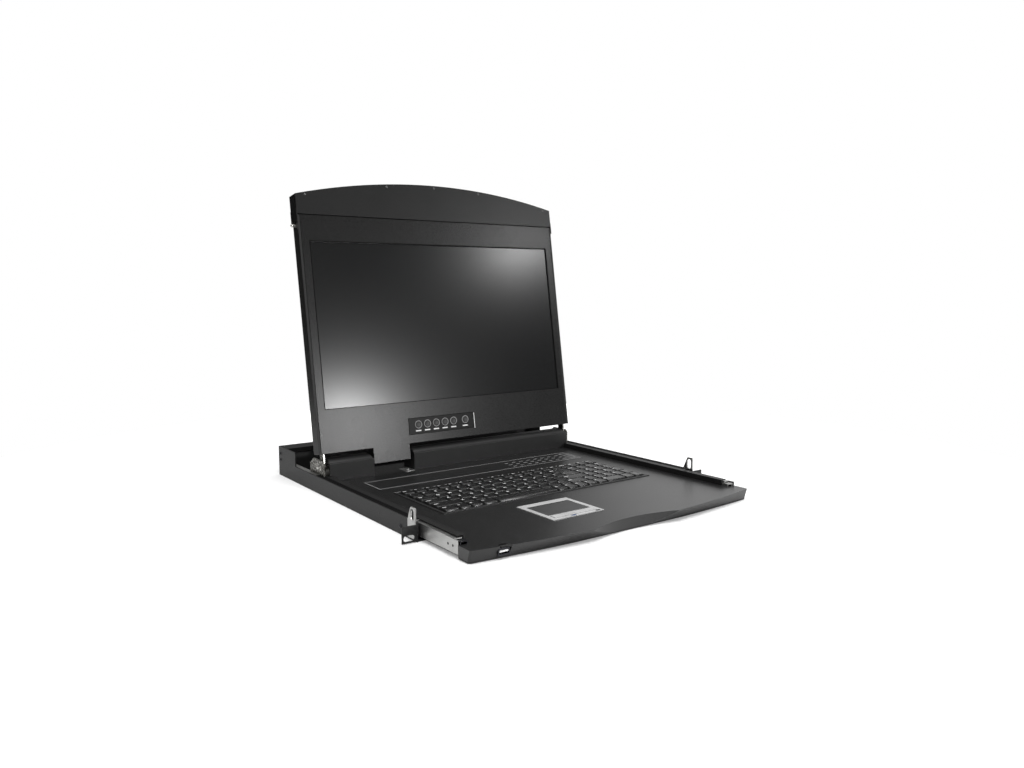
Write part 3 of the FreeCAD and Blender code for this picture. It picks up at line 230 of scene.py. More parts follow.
def plastic(name, level, roughness, grain=0.4, strength=0.15, specular=0.45, edge=0.25,
            tint=(1, 1, 1)):
    """Moulded plastic, film or print: fine grain over a faintly uneven colour."""
    s = Shader(name)
    fine = s.noise(grain, 2.0)
    cloud = s.noise(25.0, 2.0)
    tone = s.blend(s.mapped(cloud, 0.0, 1.0), shade(tint, level * 0.88), shade(tint, level * 1.12))
    s.surface(**{"Base Color": tone, "Specular IOR Level": specular,
                 "Roughness": s.mapped(fine, roughness - 0.04, roughness + 0.06),
                 "Normal": s.bump(fine, strength, 0.05, s.rounded(edge))})


def speckled(name):
    """Zinc-plated casting: dark hollows and bright grains a few millimetres across."""
    s = Shader(name)
    grains = s.noise(2.6, 3.0, roughness=0.65)
    fine = s.noise(0.7, 3.0)
    tone = s.blend(s.mapped(grains, 0.0, 1.0, 0.50, 0.62), (0.05, 0.049, 0.044, 1),
                   (0.66, 0.65, 0.60, 1))
    tone = s.blend(s.mapped(fine, 0.0, 0.6), tone, (0.16, 0.155, 0.14, 1))
    s.surface(**{"Base Color": tone, "Metallic": 1.0,
                 "Roughness": s.mapped(grains, 0.52, 0.30, 0.45, 0.62),
                 "Normal": s.bump(grains, 0.8, 0.35, s.rounded(0.4))})


def circuit(name):
    """Green solder mask with faint tracks."""
    s = Shader(name)
    place = s.add("ShaderNodeTexCoord").outputs["Object"]
    bricks = s.add("ShaderNodeTexBrick", {"Vector": place, "Scale": 160.0, "Mortar Size": 0.03,
                                          "Color1": (0.01, 0.09, 0.03, 1),
                                          "Color2": (0.012, 0.11, 0.04, 1),
                                          "Mortar": (0.04, 0.22, 0.08, 1)})
    cloud = s.mapped(s.noise(3.0), 0.0, 0.5)
    tone = s.blend(cloud, bricks.outputs["Color"], (0.012, 0.1, 0.035, 1))
    s.surface(**{"Base Color": tone, "Roughness": s.mapped(cloud, 0.3, 0.45, 0.0, 1.0)})


def display(name):
    """Anti-glare film over a dark display: satin, with a very fine sparkle."""
    s = Shader(name)
    fine = s.noise(0.25, 1.0)
    cloud = s.noise(90.0, 1.0)
    tone = s.blend(s.mapped(cloud, 0.0, 1.0), (0.0065, 0.0068, 0.0070, 1),
                   (0.008, 0.0082, 0.0082, 1))
    s.surface(**{"Base Color": tone, "Roughness": s.mapped(fine, 0.20, 0.24),
                 "Specular IOR Level": 0.4, "Normal": s.bump(fine, 0.05, 0.02)})


coat("powder_coat", 0.011, 0.47, specular=0.32)
coat("deck_coat", 0.010, 0.30, grain=0.5, strength=0.08, specular=0.5)
coat("cap_coat", 0.009, 0.33, grain=0.6, strength=0.15, specular=0.32)
coat("bezel_coat", 0.009, 0.28, grain=0.6, strength=0.15, specular=0.30)
metal("zinc_plate", (0.50, 0.50, 0.49), 0.36, streak=(1, 12, 1), size=0.8)
metal("bright_steel", (0.72, 0.71, 0.68), 0.28, size=0.9, strength=0.3)
metal("port_metal", (0.66, 0.66, 0.65), 0.25, size=0.6, strength=0.06)
metal("screw_black", (0.045, 0.045, 0.05), 0.38, size=0.5)
metal("screw_steel", (0.14, 0.14, 0.14), 0.45, size=0.5)
speckled("cast_steel")
circuit("circuit_board")
display("screen_glass")
plastic("black_plastic", 0.017, 0.42)
plastic("key_plastic", 0.010, 0.25, grain=0.3, specular=0.62)
plastic("silver_plastic", 0.42, 0.32, grain=0.3, strength=0.08, specular=0.6)
plastic("membrane_film", 0.012, 0.34, grain=0.5, strength=0.08, edge=0.1)
plastic("pad_film", 0.036, 0.42, grain=0.35, strength=0.2, edge=0.1)
plastic("osd_film", 0.006, 0.38, grain=0.3, strength=0.1, specular=0.16, edge=0.1)
plastic("print_white", 0.80, 0.6, edge=0.02)
# Grey print, also used for painted highlights on the keyboard frame's edge and round the menu buttons.
plastic("grey_print_and_highlight", 0.34, 0.5, edge=0.02)
plastic("print_blue", 0.10, 0.5, specular=0.1, edge=0.02, tint=(0.45, 0.75, 1.6))
# Near black: painted shade in seams, recesses, holes and vents, and a dark printed mark on the pad.
plastic("painted_shade_and_dark_print", 0.003, 0.7, specular=0.08, edge=0.05)

# Nodes that look different from the rest of their record slot.
# slide_inner_left is made black as painted shade: only the left member, seen in shadow, is darkened.
NODE_MATERIAL = {"hinge_bracket_left": "cast_steel", "hinge_bracket_right": "cast_steel",
                 "palm_deck": "deck_coat", "top_cap": "cap_coat", "osd_plate": "osd_film",
                 "usb_port": "screw_black", "slide_inner_left": "screw_black"}


def finish_nodes():
    """Every node gets its own material, or else that of its record slot."""
    slot_of = {part["node"]: part["material_slot"] for part in frame["record"]["subparts"]}
    for name, node in frame["nodes"].items():
        node.data.materials.clear()
        node.data.materials.append(MATERIALS[NODE_MATERIAL.get(name, slot_of[name])])


# ------------------------------------------------------------ mesh helpers
SMOOTH_ANGLE = math.radians(40)


def round_rect(x0, x1, y0, y1, radius, steps=3):
    """Rounded rectangle as a ring of (x, y)."""
    radius = min(radius, (x1 - x0) / 2.01, (y1 - y0) / 2.01)
    turns = ((x1 - radius, y0 + radius, -90), (x1 - radius, y1 - radius, 0),
             (x0 + radius, y1 - radius, 90), (x0 + radius, y0 + radius, 180))
    ring = []
    for x, y, start in turns:
        for step in range(steps + 1):
            a = math.radians(start + 90 * step / steps)
            ring.append((x + radius * math.cos(a), y + radius * math.sin(a)))
    return ring


def upright_ring(x0, x1, z0, z1, radius, y, steps=4):
    """Rounded rectangle standing at one depth, as a ring of points."""
    return [(x, y, z) for x, z in round_rect(x0, x1, z0, z1, radius, steps)]


def outline(x0, x1, y0, y1, line):
    """The four strips, as (x0, x1, y0, y1), that draw a rectangle with a line inside its edge."""
    return ((x0, x1, y0, y0 + line), (x0, x1, y1 - line, y1),
            (x0, x0 + line, y0 + line, y1 - line), (x1 - line, x1, y0 + line, y1 - line))


def placer(centre, axis):
    """A function that puts a point at the centre, with its own Z along the axis."""
    turn = Vector(axis).to_track_quat("Z", "Y").to_matrix()
    return lambda x, y, z: tuple(Vector(centre) + turn @ Vector((x, y, z)))


class Soup:
    """Points and faces of one piece, collected shape by shape."""

    def __init__(self):
        self.points = []
        self.faces = []

    def mesh(self, points, faces):
        base = len(self.points)
        self.points.extend(points)
        self.faces.extend(tuple(base + i for i in face) for face in faces)

    def rings(self, rings, looped=False):
        """Skin over rings of equal length: first and last are capped, or joined when looped."""
        n = len(rings[0])
        faces = []
        for r in range(len(rings) if looped else len(rings) - 1):
            low = r * n
            high = (r + 1) % len(rings) * n
            for i in range(n):
                j = (i + 1) % n
                faces.append((low + i, low + j, high + j, high + i))
        if not looped:
            last = (len(rings) - 1) * n
            faces.append(tuple(reversed(range(n))))
            faces.append(tuple(range(last, last + n)))
        self.mesh([point for ring in rings for point in ring], faces)

    def box(self, x0, x1, y0, y1, z0, z1):
        self.rings([[(x0, y0, z), (x1, y0, z), (x1, y1, z), (x0, y1, z)] for z in (z0, z1)])

    def side_box(self, side, x0, x1, y0, y1, z0, z1):
        """Box on the right when side is 1, or its mirror image on the left when it is -1."""
        near, far = sorted((side * x0, side * x1))
        self.box(near, far, y0, y1, z0, z1)

    def plate(self, rect, radius, z0, z1):
        """Flat plate with round corners over rect, which is (x0, x1, y0, y1)."""
        self.rings([[(x, y, z) for x, y in round_rect(*rect, radius)] for z in (z0, z1)])

    def turned(self, profile, centre, axis, segments=24, looped=False):
        """Turned shape: profile of (radius, distance from the centre along the axis)."""
        put = placer(centre, axis)
        angles = [2 * math.pi * i / segments for i in range(segments)]
        self.rings([[put(radius * math.cos(a), radius * math.sin(a), rise) for a in angles]
                    for radius, rise in profile], looped)

    def cross(self, centre, axis, reach, width):
        """Cross recess of a screw, drawn just proud of the head, to be painted dark as shade."""
        put = placer(centre, axis)
        for a, b in ((reach, width / 2), (width / 2, reach)):
            bar = ((-a, -b), (a, -b), (a, b), (-a, b))
            self.rings([[put(x, y, z) for x, y in bar] for z in (-0.3, 0.04)])


def piece(name, soup, place, body, material):
    """A new mesh piece, its points in millimetres in the given place, riding on a body."""
    data = bpy.data.meshes.new(name)
    data.from_pydata([tuple(place @ Vector(point)) for point in soup.points], [], soup.faces)
    shell = bmesh.new()
    shell.from_mesh(data)
    bmesh.ops.recalc_face_normals(shell, faces=shell.faces)
    shell.to_mesh(data)
    shell.free()
    data.materials.append(MATERIALS[material])
    made = bpy.data.objects.new(name, data)
    bpy.context.scene.collection.objects.link(made)
    for face in data.polygons:
        face.use_smooth = True
    data.set_sharp_from_angle(angle=SMOOTH_ANGLE)
    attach(made, body)
    return made


# ------------------------------------------------------------ letters and digits
LETTER_DEPTH = 0.008
LETTER_WEIGHT = 0.018
glyph_cache = {}


def glyphs(text):
    """Thin raised letters as (points, faces), one unit high, from the built-in typeface."""
    if text not in glyph_cache:
        curve = bpy.data.curves.new("legend", "FONT")
        curve.body = text
        curve.size = 1.0
        curve.extrude = LETTER_DEPTH
        curve.offset = LETTER_WEIGHT
        curve.resolution_u = 2
        holder = bpy.data.objects.new("legend", curve)
        bpy.context.scene.collection.objects.link(holder)
        bpy.context.view_layer.update()
        shown = holder.evaluated_get(bpy.context.evaluated_depsgraph_get())
        mesh = bpy.data.meshes.new_from_object(shown)
        glyph_cache[text] = ([tuple(vertex.co) for vertex in mesh.vertices],
                             [tuple(polygon.vertices) for polygon in mesh.polygons])
        bpy.data.objects.remove(holder)
        bpy.data.curves.remove(curve)
        bpy.data.meshes.remove(mesh)
    return glyph_cache[text]


# ------------------------------------------------------------ key caps and their legends
KEYS_HALF_WIDTH = 164.0
KEY_UNIT = 2 * KEYS_HALF_WIDTH / 19
KEY_GAP = 1.3
LINK_INSET = 0.8
LINK_HALF_DEPTH = 3.0
LINK_HEIGHT = 1.2
# From a cap's foot over its rim into the dish: (inset, depth below the top, corner radius).
KEY_PROFILE = ((0.0, 5.0, 1.0), (0.55, 2.8, 1.4), (1.0, 0.7, 1.8), (1.15, 0.25, 1.9),
               (1.45, 0.0, 1.9), (2.1, 0.04, 1.8), (3.2, 0.2, 1.6), (4.8, 0.3, 1.2))
# Legends: sizes of letters and of words, height of capitals as a share of them, and distances
# from a cap's left and rear edges and below its top.
LETTER_SIZE = 5.6
WORD_SIZE = 3.6
LETTER_RISE = 0.75
LEGEND_LEFT = 2.7
LEGEND_REAR = 2.6
LEGEND_SINK = 0.18
# Widths in key units and generic legends, from the front row to the rear one.
ROWS = (
    ((1.25, 1, 1, 1.25, 5.5, 1, 1, 1, 1, 1, 2, 1, 1),
     ("Ctrl", "Fn", "=", "Alt", "", "Alt", "=", "<", "v", ">", "0", ".", "")),
    ((2.25,) + (1,) * 10 + (1.75, 1) + (1,) * 4,
     ("Shift", *"ZXCVBNM,./", "Shift", *"^123", "")),
    ((1.75,) + (1,) * 11 + (2.25,) + (1,) * 4,
     ("Caps", *"ASDFGHJKL;'", "Enter", *"456+")),
    ((1.5,) + (1,) * 12 + (1.5,) + (1,) * 4,
     ("Tab", *"QWERTYUIOP[]\\789-")),
    ((1,) * 13 + (2,) + (1,) * 4,
     (*"`1234567890-=", "Back", "Num", "/", "*", "End")),
    ((1,) * 19,
     ("Esc", *("F%d" % i for i in range(1, 13)), "Ins", "Del", "Home", "Up", "Dn", "Prt")),
)


def key_row(number, widths, legends):
    """The caps of one row on their link strip, and the legends on them."""
    body = "key_row_%d" % number
    low, high = corners(body)
    middle = (low.y + high.y) / 2
    x = -KEYS_HALF_WIDTH
    caps = Soup()
    marks = Soup()
    caps.box(x + LINK_INSET, -x - LINK_INSET, middle - LINK_HALF_DEPTH, middle + LINK_HALF_DEPTH,
             low.z, low.z + LINK_HEIGHT)
    for units, legend in zip(widths, legends):
        left = x + KEY_GAP / 2
        x = x + units * KEY_UNIT
        right = x - KEY_GAP / 2
        rings = []
        for inset, depth, radius in KEY_PROFILE:
            ring = round_rect(left + inset, right - inset, low.y + inset, high.y - inset, radius)
            rings.append([(px, py, high.z - depth) for px, py in ring])
        caps.rings(rings)
        if legend:
            points, faces = glyphs(legend)
            size = LETTER_SIZE if len(legend) == 1 else WORD_SIZE
            base = high.y - LEGEND_REAR - size * LETTER_RISE
            marks.mesh([(left + LEGEND_LEFT + px * size, base + py * size,
                         high.z - LEGEND_SINK + pz * size) for px, py, pz in points], faces)
    made = piece("key_caps_%d" % number, caps, UPRIGHT, body, "key_plastic")
    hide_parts("key_row_%d" % number)
    piece("key_legends_%d" % number, marks, UPRIGHT, body, "print_white")


def keyboard():
    for number, (widths, legends) in enumerate(ROWS, 1):
        key_row(number, widths, legends)


# ------------------------------------------------------------ print on the status strip
STRIP_LINE = 1.0
STRIP_WINDOW = (160.0, 169.0, 190.0, 222.0)
DASH_COLUMNS = 8
DASH_LEFT = 50.0
DASH_PITCH = 13.6
DASH_LENGTH = 6.5
DASH_WIDTH = 1.7
DASH_ROWS = (192.0, 203.0, 214.0)


def strip_print():
    """A line round the status strip, a small window at its right end, and rows of dashes."""
    low, high = corners("status_strip")
    border = (low.x + 0.7, high.x - 0.7, low.y + 2.2, high.y - 0.8)
    strokes = list(outline(*border, STRIP_LINE))
    for column in range(DASH_COLUMNS):
        x = DASH_LEFT + column * DASH_PITCH
        strokes.extend((x, x + DASH_LENGTH, y, y + DASH_WIDTH) for y in DASH_ROWS)
    strokes.extend(outline(*STRIP_WINDOW, STRIP_LINE))
    strip = Soup()
    for stroke in strokes:
        strip.box(*stroke, high.z - 0.05, high.z + 0.04)
    piece("strip_print", strip, UPRIGHT, "drawer", "grey_print_and_highlight")


def keyboard_edge_highlight():
    """Painted highlight: a pale line along the rear edge of the keyboard frame."""
    low, high = corners("keyboard_frame")
    line = Soup()
    line.box(low.x + 0.2, high.x - 0.2, high.y - 1.2, high.y - 0.1, high.z - 0.1, high.z + 0.06)
    piece("keyboard_edge_highlight", line, UPRIGHT, "drawer", "grey_print_and_highlight")


# ------------------------------------------------------------ on-screen-menu buttons
BUTTON_COUNT = 6
BUTTON_RADIUS = 6.0
# Turned about a button's axis: (radius, distance before the hinge plane).
BUTTON = ((BUTTON_RADIUS, 7.0), (BUTTON_RADIUS, 8.3), (4.6, 8.31), (4.6, 10.6), (4.45, 10.9),
          (4.15, 11.0), (3.8, 10.9), (3.6, 10.65), (2.4, 10.5), (0.2, 10.45))
BUTTON_SIDES = 32
# Painted highlight: a pale ring where light catches each button's rim, as (radius, distance before the hinge
# plane).
BUTTON_RING_HIGHLIGHT = ((5.0, 10.1), (5.0, 10.42), (5.35, 10.5), (5.7, 10.42), (5.7, 10.1))


def screen_buttons():
    """Six button caps with painted highlight rings round them, a stroke under each, and the edge of their plate
    drawn dark as painted shade.
    """
    low, high = corners("osd_plate", SCREEN)
    face = low.y
    marks = Soup()
    rings = Soup()
    for number in range(1, BUTTON_COUNT + 1):
        button_low, button_high = corners("osd_button_%d" % number, SCREEN)
        x = (button_low.x + button_high.x) / 2
        up = button_high.z - BUTTON_RADIUS
        button = Soup()
        button.turned(BUTTON, (x, 0, up), FRONT, BUTTON_SIDES)
        made = piece("osd_cap_%d" % number, button, SCREEN, "osd_button_%d" % number,
                     "black_plastic")
        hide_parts("osd_button_%d" % number)
        rings.turned(BUTTON_RING_HIGHLIGHT, (x, 0, up), FRONT, BUTTON_SIDES, looped=True)
        marks.box(x - 5.3, x + 3.7, face - 0.07, face + 0.05, up - 9.9, up - 8.2)
    marks.box(high.x + 0.8, high.x + 1.9, face + 0.1, face + 0.25, low.z - 0.7, high.z - 1.4)
    # Dark line round the plate's edge: painted shade in its seam.
    edge = Soup()
    for x0, x1, up0, up1 in outline(low.x + 0.3, high.x - 0.3, low.z + 0.3, high.z - 0.3, 0.5):
        edge.box(x0, x1, face - 0.05, face + 0.05, up0, up1)
    piece("osd_marks", marks, SCREEN, "screen", "print_white")
    piece("osd_ring_highlights", rings, SCREEN, "screen", "grey_print_and_highlight")
    piece("osd_edge_shade", edge, SCREEN, "screen", "painted_shade_and_dark_print")


# ------------------------------------------------------------ touch pad and front USB port
PAD_LIGHT = (-54.0, -46.5, -63.6, -60.6)
PAD_MARK = (-16.5, -9.5, -63.9, -60.7)
PAD_GROOVE_SHADE = (-76.6, -12.4, -48.0, -5.6)
PAD_BAND = (-77.0, -12.0, -5.8, 0.0)
# Rings of the USB port's rim: (half width, half height, corner radius, distance behind its front).
USB_RIM = ((7.4, 3.7, 0.9, -0.5), (6.2, 2.5, 0.4, -0.5), (6.2, 2.5, 0.4, 1.5), (7.4, 3.7, 0.9, 1.5))


def touch_pad():
    """Light, plain mark and rear band on the pad's frame, and the groove round the pad drawn as a dark line of
    painted shade.
    """
    top = corners("touchpad_frame")[1].z
    light = Soup()
    light.plate(PAD_LIGHT, 0.9, top - 0.1, top + 0.06)
    piece("pad_light", light, UPRIGHT, "drawer", "print_blue")
    marks = Soup()
    marks.plate(PAD_MARK, 1.6, top - 0.1, top + 0.06)
    # Painted shade: the groove round the pad as a thin dark outline.
    for stroke in outline(*PAD_GROOVE_SHADE, 0.5):
        marks.box(*stroke, top - 0.2, top + 0.03)
    piece("pad_mark_and_groove_shade", marks, UPRIGHT, "drawer", "painted_shade_and_dark_print")
    band = Soup()
    band.plate(PAD_BAND, 0.6, top - 0.6, top + 0.02)
    piece("pad_band", band, UPRIGHT, "drawer", "silver_plastic")


def front_usb():
    """Rim and tongue of the port, and a dark plate of painted shade for the notch in the deck over it."""
    low, high = corners("usb_port")
    x = (low.x + high.x) / 2
    z = (low.z + high.z) / 2
    front = low.y
    deck_top = corners("palm_deck")[1].z
    rim = Soup()
    rim.rings([upright_ring(x - half, x + half, z - rise, z + rise, radius, front + depth, 3)
               for half, rise, radius, depth in USB_RIM], looped=True)
    piece("usb_rim", rim, UPRIGHT, "drawer", "screw_black")
    tongue = Soup()
    tongue.box(x - 5.4, x + 5.4, front + 0.1, front + 9, z - 0.5, z + 1.5)
    piece("usb_tongue", tongue, UPRIGHT, "drawer", "print_white")
    # Painted shade: a flat dark arch where the notch in the deck is in shadow.
    recess = Soup()
    arc = [math.pi * i / 16 for i in range(17)]
    recess.rings([[(x + 6.2 * math.cos(a), front + 0.5 + 4.6 * math.sin(a), height) for a in arc]
                  for height in (deck_top - 0.2, deck_top + 0.03)])
    piece("usb_recess_shade", recess, UPRIGHT, "drawer", "painted_shade_and_dark_print")


# ------------------------------------------------------------ screws
# Places on the housing's sides as (depth, height).
WALL_SCREWS = ((37.5, 10.0), (406.3, 24.0), (406.3, 33.0))
SLIDE_SCREWS = ((90.0, 12.9), (200.0, 12.9), (320.0, 12.9))
RIVETS = ((9.5, 8.0), (9.5, 15.0))
# Screw heads as (radius, rise).
WALL_HEAD = (2.4, 1.1)
SLIDE_HEAD = (3.0, 1.1)
CAP_HEAD = (1.7, 0.56)
SHELL_HEAD = (2.4, 0.76)
# Turned about their own axes: (radius, distance outwards).
SHANK = ((1.7, -1.0), (1.7, 2.6), (1.5, 2.7))
RIVET = ((2.2, -0.4), (2.1, 0.3), (1.7, 0.7), (1.0, 0.95), (0.1, 1.0))
SLIDE_SHEET = 1.2
CAP_SAGITTA = 25.7
CAP_SCREW_X = (-206.5, -80.0, 0.0, 80.0, 206.5)
CAP_SCREW_UP = 396.1
SHELL_SCREW_X = (-195.0, 195.0)
SHELL_SCREW_UP = (68.0, 307.0)
BRACKET_SCREW_X = (-202.0, 202.0)
BRACKET_SCREW_Y = (298.0, 307.0)


def pan_head(heads, marks, centre, axis, radius, rise):
    """Domed screw head, with its cross recess drawn as a mark painted dark as shade."""
    dome = ((radius, -0.4), (radius, rise * 0.4), (radius * 0.93, rise * 0.72),
            (radius * 0.7, rise * 0.93), (radius * 0.35, rise), (0.05, rise))
    heads.turned(dome, centre, axis, 20)
    marks.cross(Vector(centre) + Vector(axis) * rise, axis, radius * 0.5, radius * 0.2)


def housing_screws():
    """Screws of the side walls and the slides, and the rivets of the lock plates."""
    wall = corners("rear_panel")[1].x
    plate_face = corners("lock_plate_right")[1].x
    slide_face = corners("slide_outer_right")[1].x - SLIDE_SHEET
    heads = Soup()
    marks = Soup()
    rivets = Soup()
    shanks = Soup()
    for _, side in SIDES:
        outward = (side, 0, 0)
        for y, z in WALL_SCREWS:
            pan_head(heads, marks, (side * wall, y, z), outward, *WALL_HEAD)
        for y, z in SLIDE_SCREWS:
            centre = (side * slide_face, y, z)
            pan_head(heads, marks, centre, (-side, 0, 0), *SLIDE_HEAD)
            shanks.turned(SHANK, centre, outward, 16)
        for y, z in RIVETS:
            rivets.turned(RIVET, (side * plate_face, y, z), outward, 18)
    piece("slide_screw_ends", shanks, UPRIGHT, "housing", "powder_coat")
    made = piece("housing_screw_heads", heads, UPRIGHT, "housing", "screw_black")
    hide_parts("housing_screws")
    # Painted shade: the cross recesses as dark marks.
    piece("housing_screw_recess_shade", marks, UPRIGHT, "housing", "painted_shade_and_dark_print")
    piece("lock_plate_rivets", rivets, UPRIGHT, "housing", "zinc_plate")


def screen_screws():
    """Screws along the cap's arch and on the back of the screen."""
    cap_low, cap_high = corners("top_cap", SCREEN)
    back = corners("lcd_rear_shell", SCREEN)[1].y
    curve = (cap_high.x ** 2 + CAP_SAGITTA ** 2) / (2 * CAP_SAGITTA)
    marks = Soup()
    cap_heads = Soup()
    for x in CAP_SCREW_X:
        drop = curve - math.sqrt(curve ** 2 - x ** 2)
        pan_head(cap_heads, marks, (x, cap_low.y, CAP_SCREW_UP - drop), FRONT, *CAP_HEAD)
    piece("cap_screw_heads", cap_heads, SCREEN, "screen", "screw_steel")
    heads = Soup()
    for x in SHELL_SCREW_X:
        for up in SHELL_SCREW_UP:
            pan_head(heads, marks, (x, back, up), BACK, *SHELL_HEAD)
    made = piece("screen_screw_heads", heads, SCREEN, "screen", "screw_black")
    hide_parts("lcd_screws")
    # Painted shade: the cross recesses as dark marks.
    piece("screen_screw_recess_shade", marks, SCREEN, "screen", "painted_shade_and_dark_print")


def bracket_screw_recess_shade():
    """Cross recesses of the screws that hold the hinge brackets, drawn dark as painted shade."""
    head_top = corners("drawer_screws")[1].z
    marks = Soup()
    for x in BRACKET_SCREW_X:
        for y in BRACKET_SCREW_Y:
            marks.cross((x, y, head_top), UP, 1.3, 0.5)
    piece("bracket_screw_recess_shade", marks, UPRIGHT, "drawer", "painted_shade_and_dark_print")


# ------------------------------------------------------------ hinges
ARM_INNER = 210.0
ARM_OUTER = 212.5
ARM_CHAMFER = 0.4
ARM_HALF = 6.0
ARM_ROOT = 24.0
ARM_TOP = 60.0
EYE_RADIUS = 7.0
EYE_ANGLES = range(149, 392, 11)
# Turned about the hinge axis: (radius, distance from the middle of the screen).
SHAFT = ((2.6, 190.0), (3.0, 190.5), (3.0, 202.0), (4.6, 202.1), (4.6, 203.4), (3.0, 203.5),
         (3.0, 217.0), (2.6, 217.4))
NUT = ((5.0, 203.6), (5.0, 206.2), (4.4, 206.6))
SHAFT_END = ((3.9, 215.6), (4.2, 215.9), (4.2, 216.6), (3.4, 217.0), (1.8, 217.1), (1.8, 220.2),
             (1.4, 220.6))
# Boxes on the right side, as (x0, x1, y0, y1, z0, z1); the left ones are their mirror images.
ARM_FOOT = (190.0, 212.0, 5.6, 7.9, ARM_ROOT, ARM_TOP)
BRIGHT_EDGE = (211.0, 212.7, -6.3, -5.7, -1.0, ARM_ROOT)


def hinge_arm(side):
    """Shaft, eye and arm of one hinge, with the foot that the screen is fixed to."""
    turns = [math.radians(a) for a in EYE_ANGLES]
    edge = [(EYE_RADIUS * math.cos(a), EYE_RADIUS * math.sin(a)) for a in turns]
    edge.extend([(ARM_HALF, ARM_ROOT), (ARM_HALF, ARM_TOP - 2), (4.5, ARM_TOP), (-4.5, ARM_TOP),
                 (-ARM_HALF, ARM_TOP - 2), (-ARM_HALF, ARM_ROOT)])
    thin = [(n * 0.93, up * 0.985) for n, up in edge]
    layers = ((ARM_INNER, thin), (ARM_INNER + ARM_CHAMFER, edge), (ARM_OUTER - ARM_CHAMFER, edge),
              (ARM_OUTER, thin))
    arm = Soup()
    arm.rings([[(side * x, n, up) for n, up in ring] for x, ring in layers])
    arm.turned(SHAFT, (0, 0, 0), (side, 0, 0))
    arm.side_box(side, *ARM_FOOT)
    return arm


def hinges():
    """Both arms, with their bright nuts, shaft ends and edges."""
    for word, side in SIDES:
        made = piece("hinge_arm_%s" % word, hinge_arm(side), SCREEN, "screen", "cast_steel")
        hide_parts("hinge_shaft_%s" % word)
        bright = Soup()
        bright.turned(NUT, (0, 0, 0), (side, 0, 0), 6)
        bright.turned(SHAFT_END, (0, 0, 0), (side, 0, 0), 20)
        bright.side_box(side, *BRIGHT_EDGE)
        piece("hinge_bright_%s" % word, bright, SCREEN, "screen", "bright_steel")


# ------------------------------------------------------------ trim of the housing and the drawer, and painted shade along the slides
# Painted shade along the top of each outer slide: its length, and its section as (across, height).
SLIDE_SHADE_LENGTH = 271.0
SLIDE_SHADE_SECTION = ((213.6, 22.38), (221.25, 22.38), (221.25, 22.6), (217.4, 22.66), (213.6, 22.6))
# Ridge of a hinge cover, across it as (depth, rise) and along it as (distance from its end, share
# of the rise).
RIDGE = ((264.0, 0.0), (265.5, 1.9), (269.0, 3.6), (274.0, 4.7), (280.0, 4.9), (286.0, 4.0),
         (290.0, 2.3), (291.5, 0.0))
RIDGE_ENDS = ((0.0, 0.2), (0.8, 0.85), (2.2, 1.0))
HEM_REAR = -2.0
HEM_BOTTOM = 1.7
HEM_TOP = 5.0
TAB = (-95.0, -79.0, 257.0, 277.0)
TAB_SCREW = (-87.0, 265.0)
TAB_HEAD = ((2.6, 0.0), (2.6, 1.2), (1.9, 1.6), (0.1, 1.6))
TIP = (-76.3, -50.0, 5.4, 20.4)
TIP_INNER = 217.9
TIP_OUTER = 218.3
TIP_HOLES = ((-66.5, 12.9), (-57.0, 12.9))
TIP_HOLE = ((1.5, -0.2), (1.5, 0.04))


def slide_top_shade():
    """Painted shade: a dark strip along the top of each outer slide member."""
    front = corners("slide_outer_left")[0].y
    for word, side in SIDES:
        strip = Soup()
        strip.rings([[(side * x, y, z) for x, z in SLIDE_SHADE_SECTION]
                     for y in (front, front + SLIDE_SHADE_LENGTH)])
        piece("slide_edging_%s" % word, strip, UPRIGHT, "housing", "painted_shade_and_dark_print")


def hinge_ridges():
    """Rounded ridge on top of each hinge cover."""
    for word, _ in SIDES:
        low, high = corners("hinge_cover_%s" % word)
        foot = high.z - 0.2
        stations = [(low.x + 0.5 + along, share) for along, share in RIDGE_ENDS]
        stations.extend((high.x - 0.5 - along, share) for along, share in reversed(RIDGE_ENDS))
        ridge = Soup()
        ridge.rings([[(x, y, foot + rise * share) for y, rise in RIDGE] for x, share in stations])
        piece("hinge_ridge_%s" % word, ridge, UPRIGHT, "drawer", "powder_coat")


def drawer_hems():
    """Lower edge of the tray's sides, before the housing."""
    low, high = corners("drawer_base")
    for word, side in SIDES:
        hem = Soup()
        hem.side_box(side, high.x + 0.02, high.x + 0.42, low.y - 0.2, HEM_REAR, HEM_BOTTOM,
                     HEM_TOP)
        piece("drawer_hem_%s" % word, hem, UPRIGHT, "drawer", "powder_coat")


def cable_tab():
    """Plate with a screw on the deck, at the gap between the hinge covers."""
    deck_top = corners("palm_deck")[1].z
    tab = Soup()
    tab.plate(TAB, 2.0, deck_top, deck_top + 0.6)
    tab.turned(TAB_HEAD, (*TAB_SCREW, deck_top + 0.5), UP, 16)
    piece("cable_tab", tab, UPRIGHT, "drawer", "zinc_plate")


def slide_tips():
    """End plates on the drawer's sides, beside the lip, with dark discs of painted shade for their holes."""
    for word, side in SIDES:
        plate = Soup()
        plate.rings([[(side * x, y, z) for y, z in round_rect(*TIP, 1.0)]
                     for x in (TIP_INNER, TIP_OUTER)])
        holes = Soup()
        # Painted shade: dark discs where the holes are in shadow.
        for y, z in TIP_HOLES:
            holes.turned(TIP_HOLE, (side * TIP_OUTER, y, z), (side, 0, 0), 16)
        piece("slide_tip_%s" % word, plate, UPRIGHT, "drawer", "zinc_plate")
        piece("slide_tip_holes_%s" % word, holes, UPRIGHT, "drawer", "painted_shade_and_dark_print")


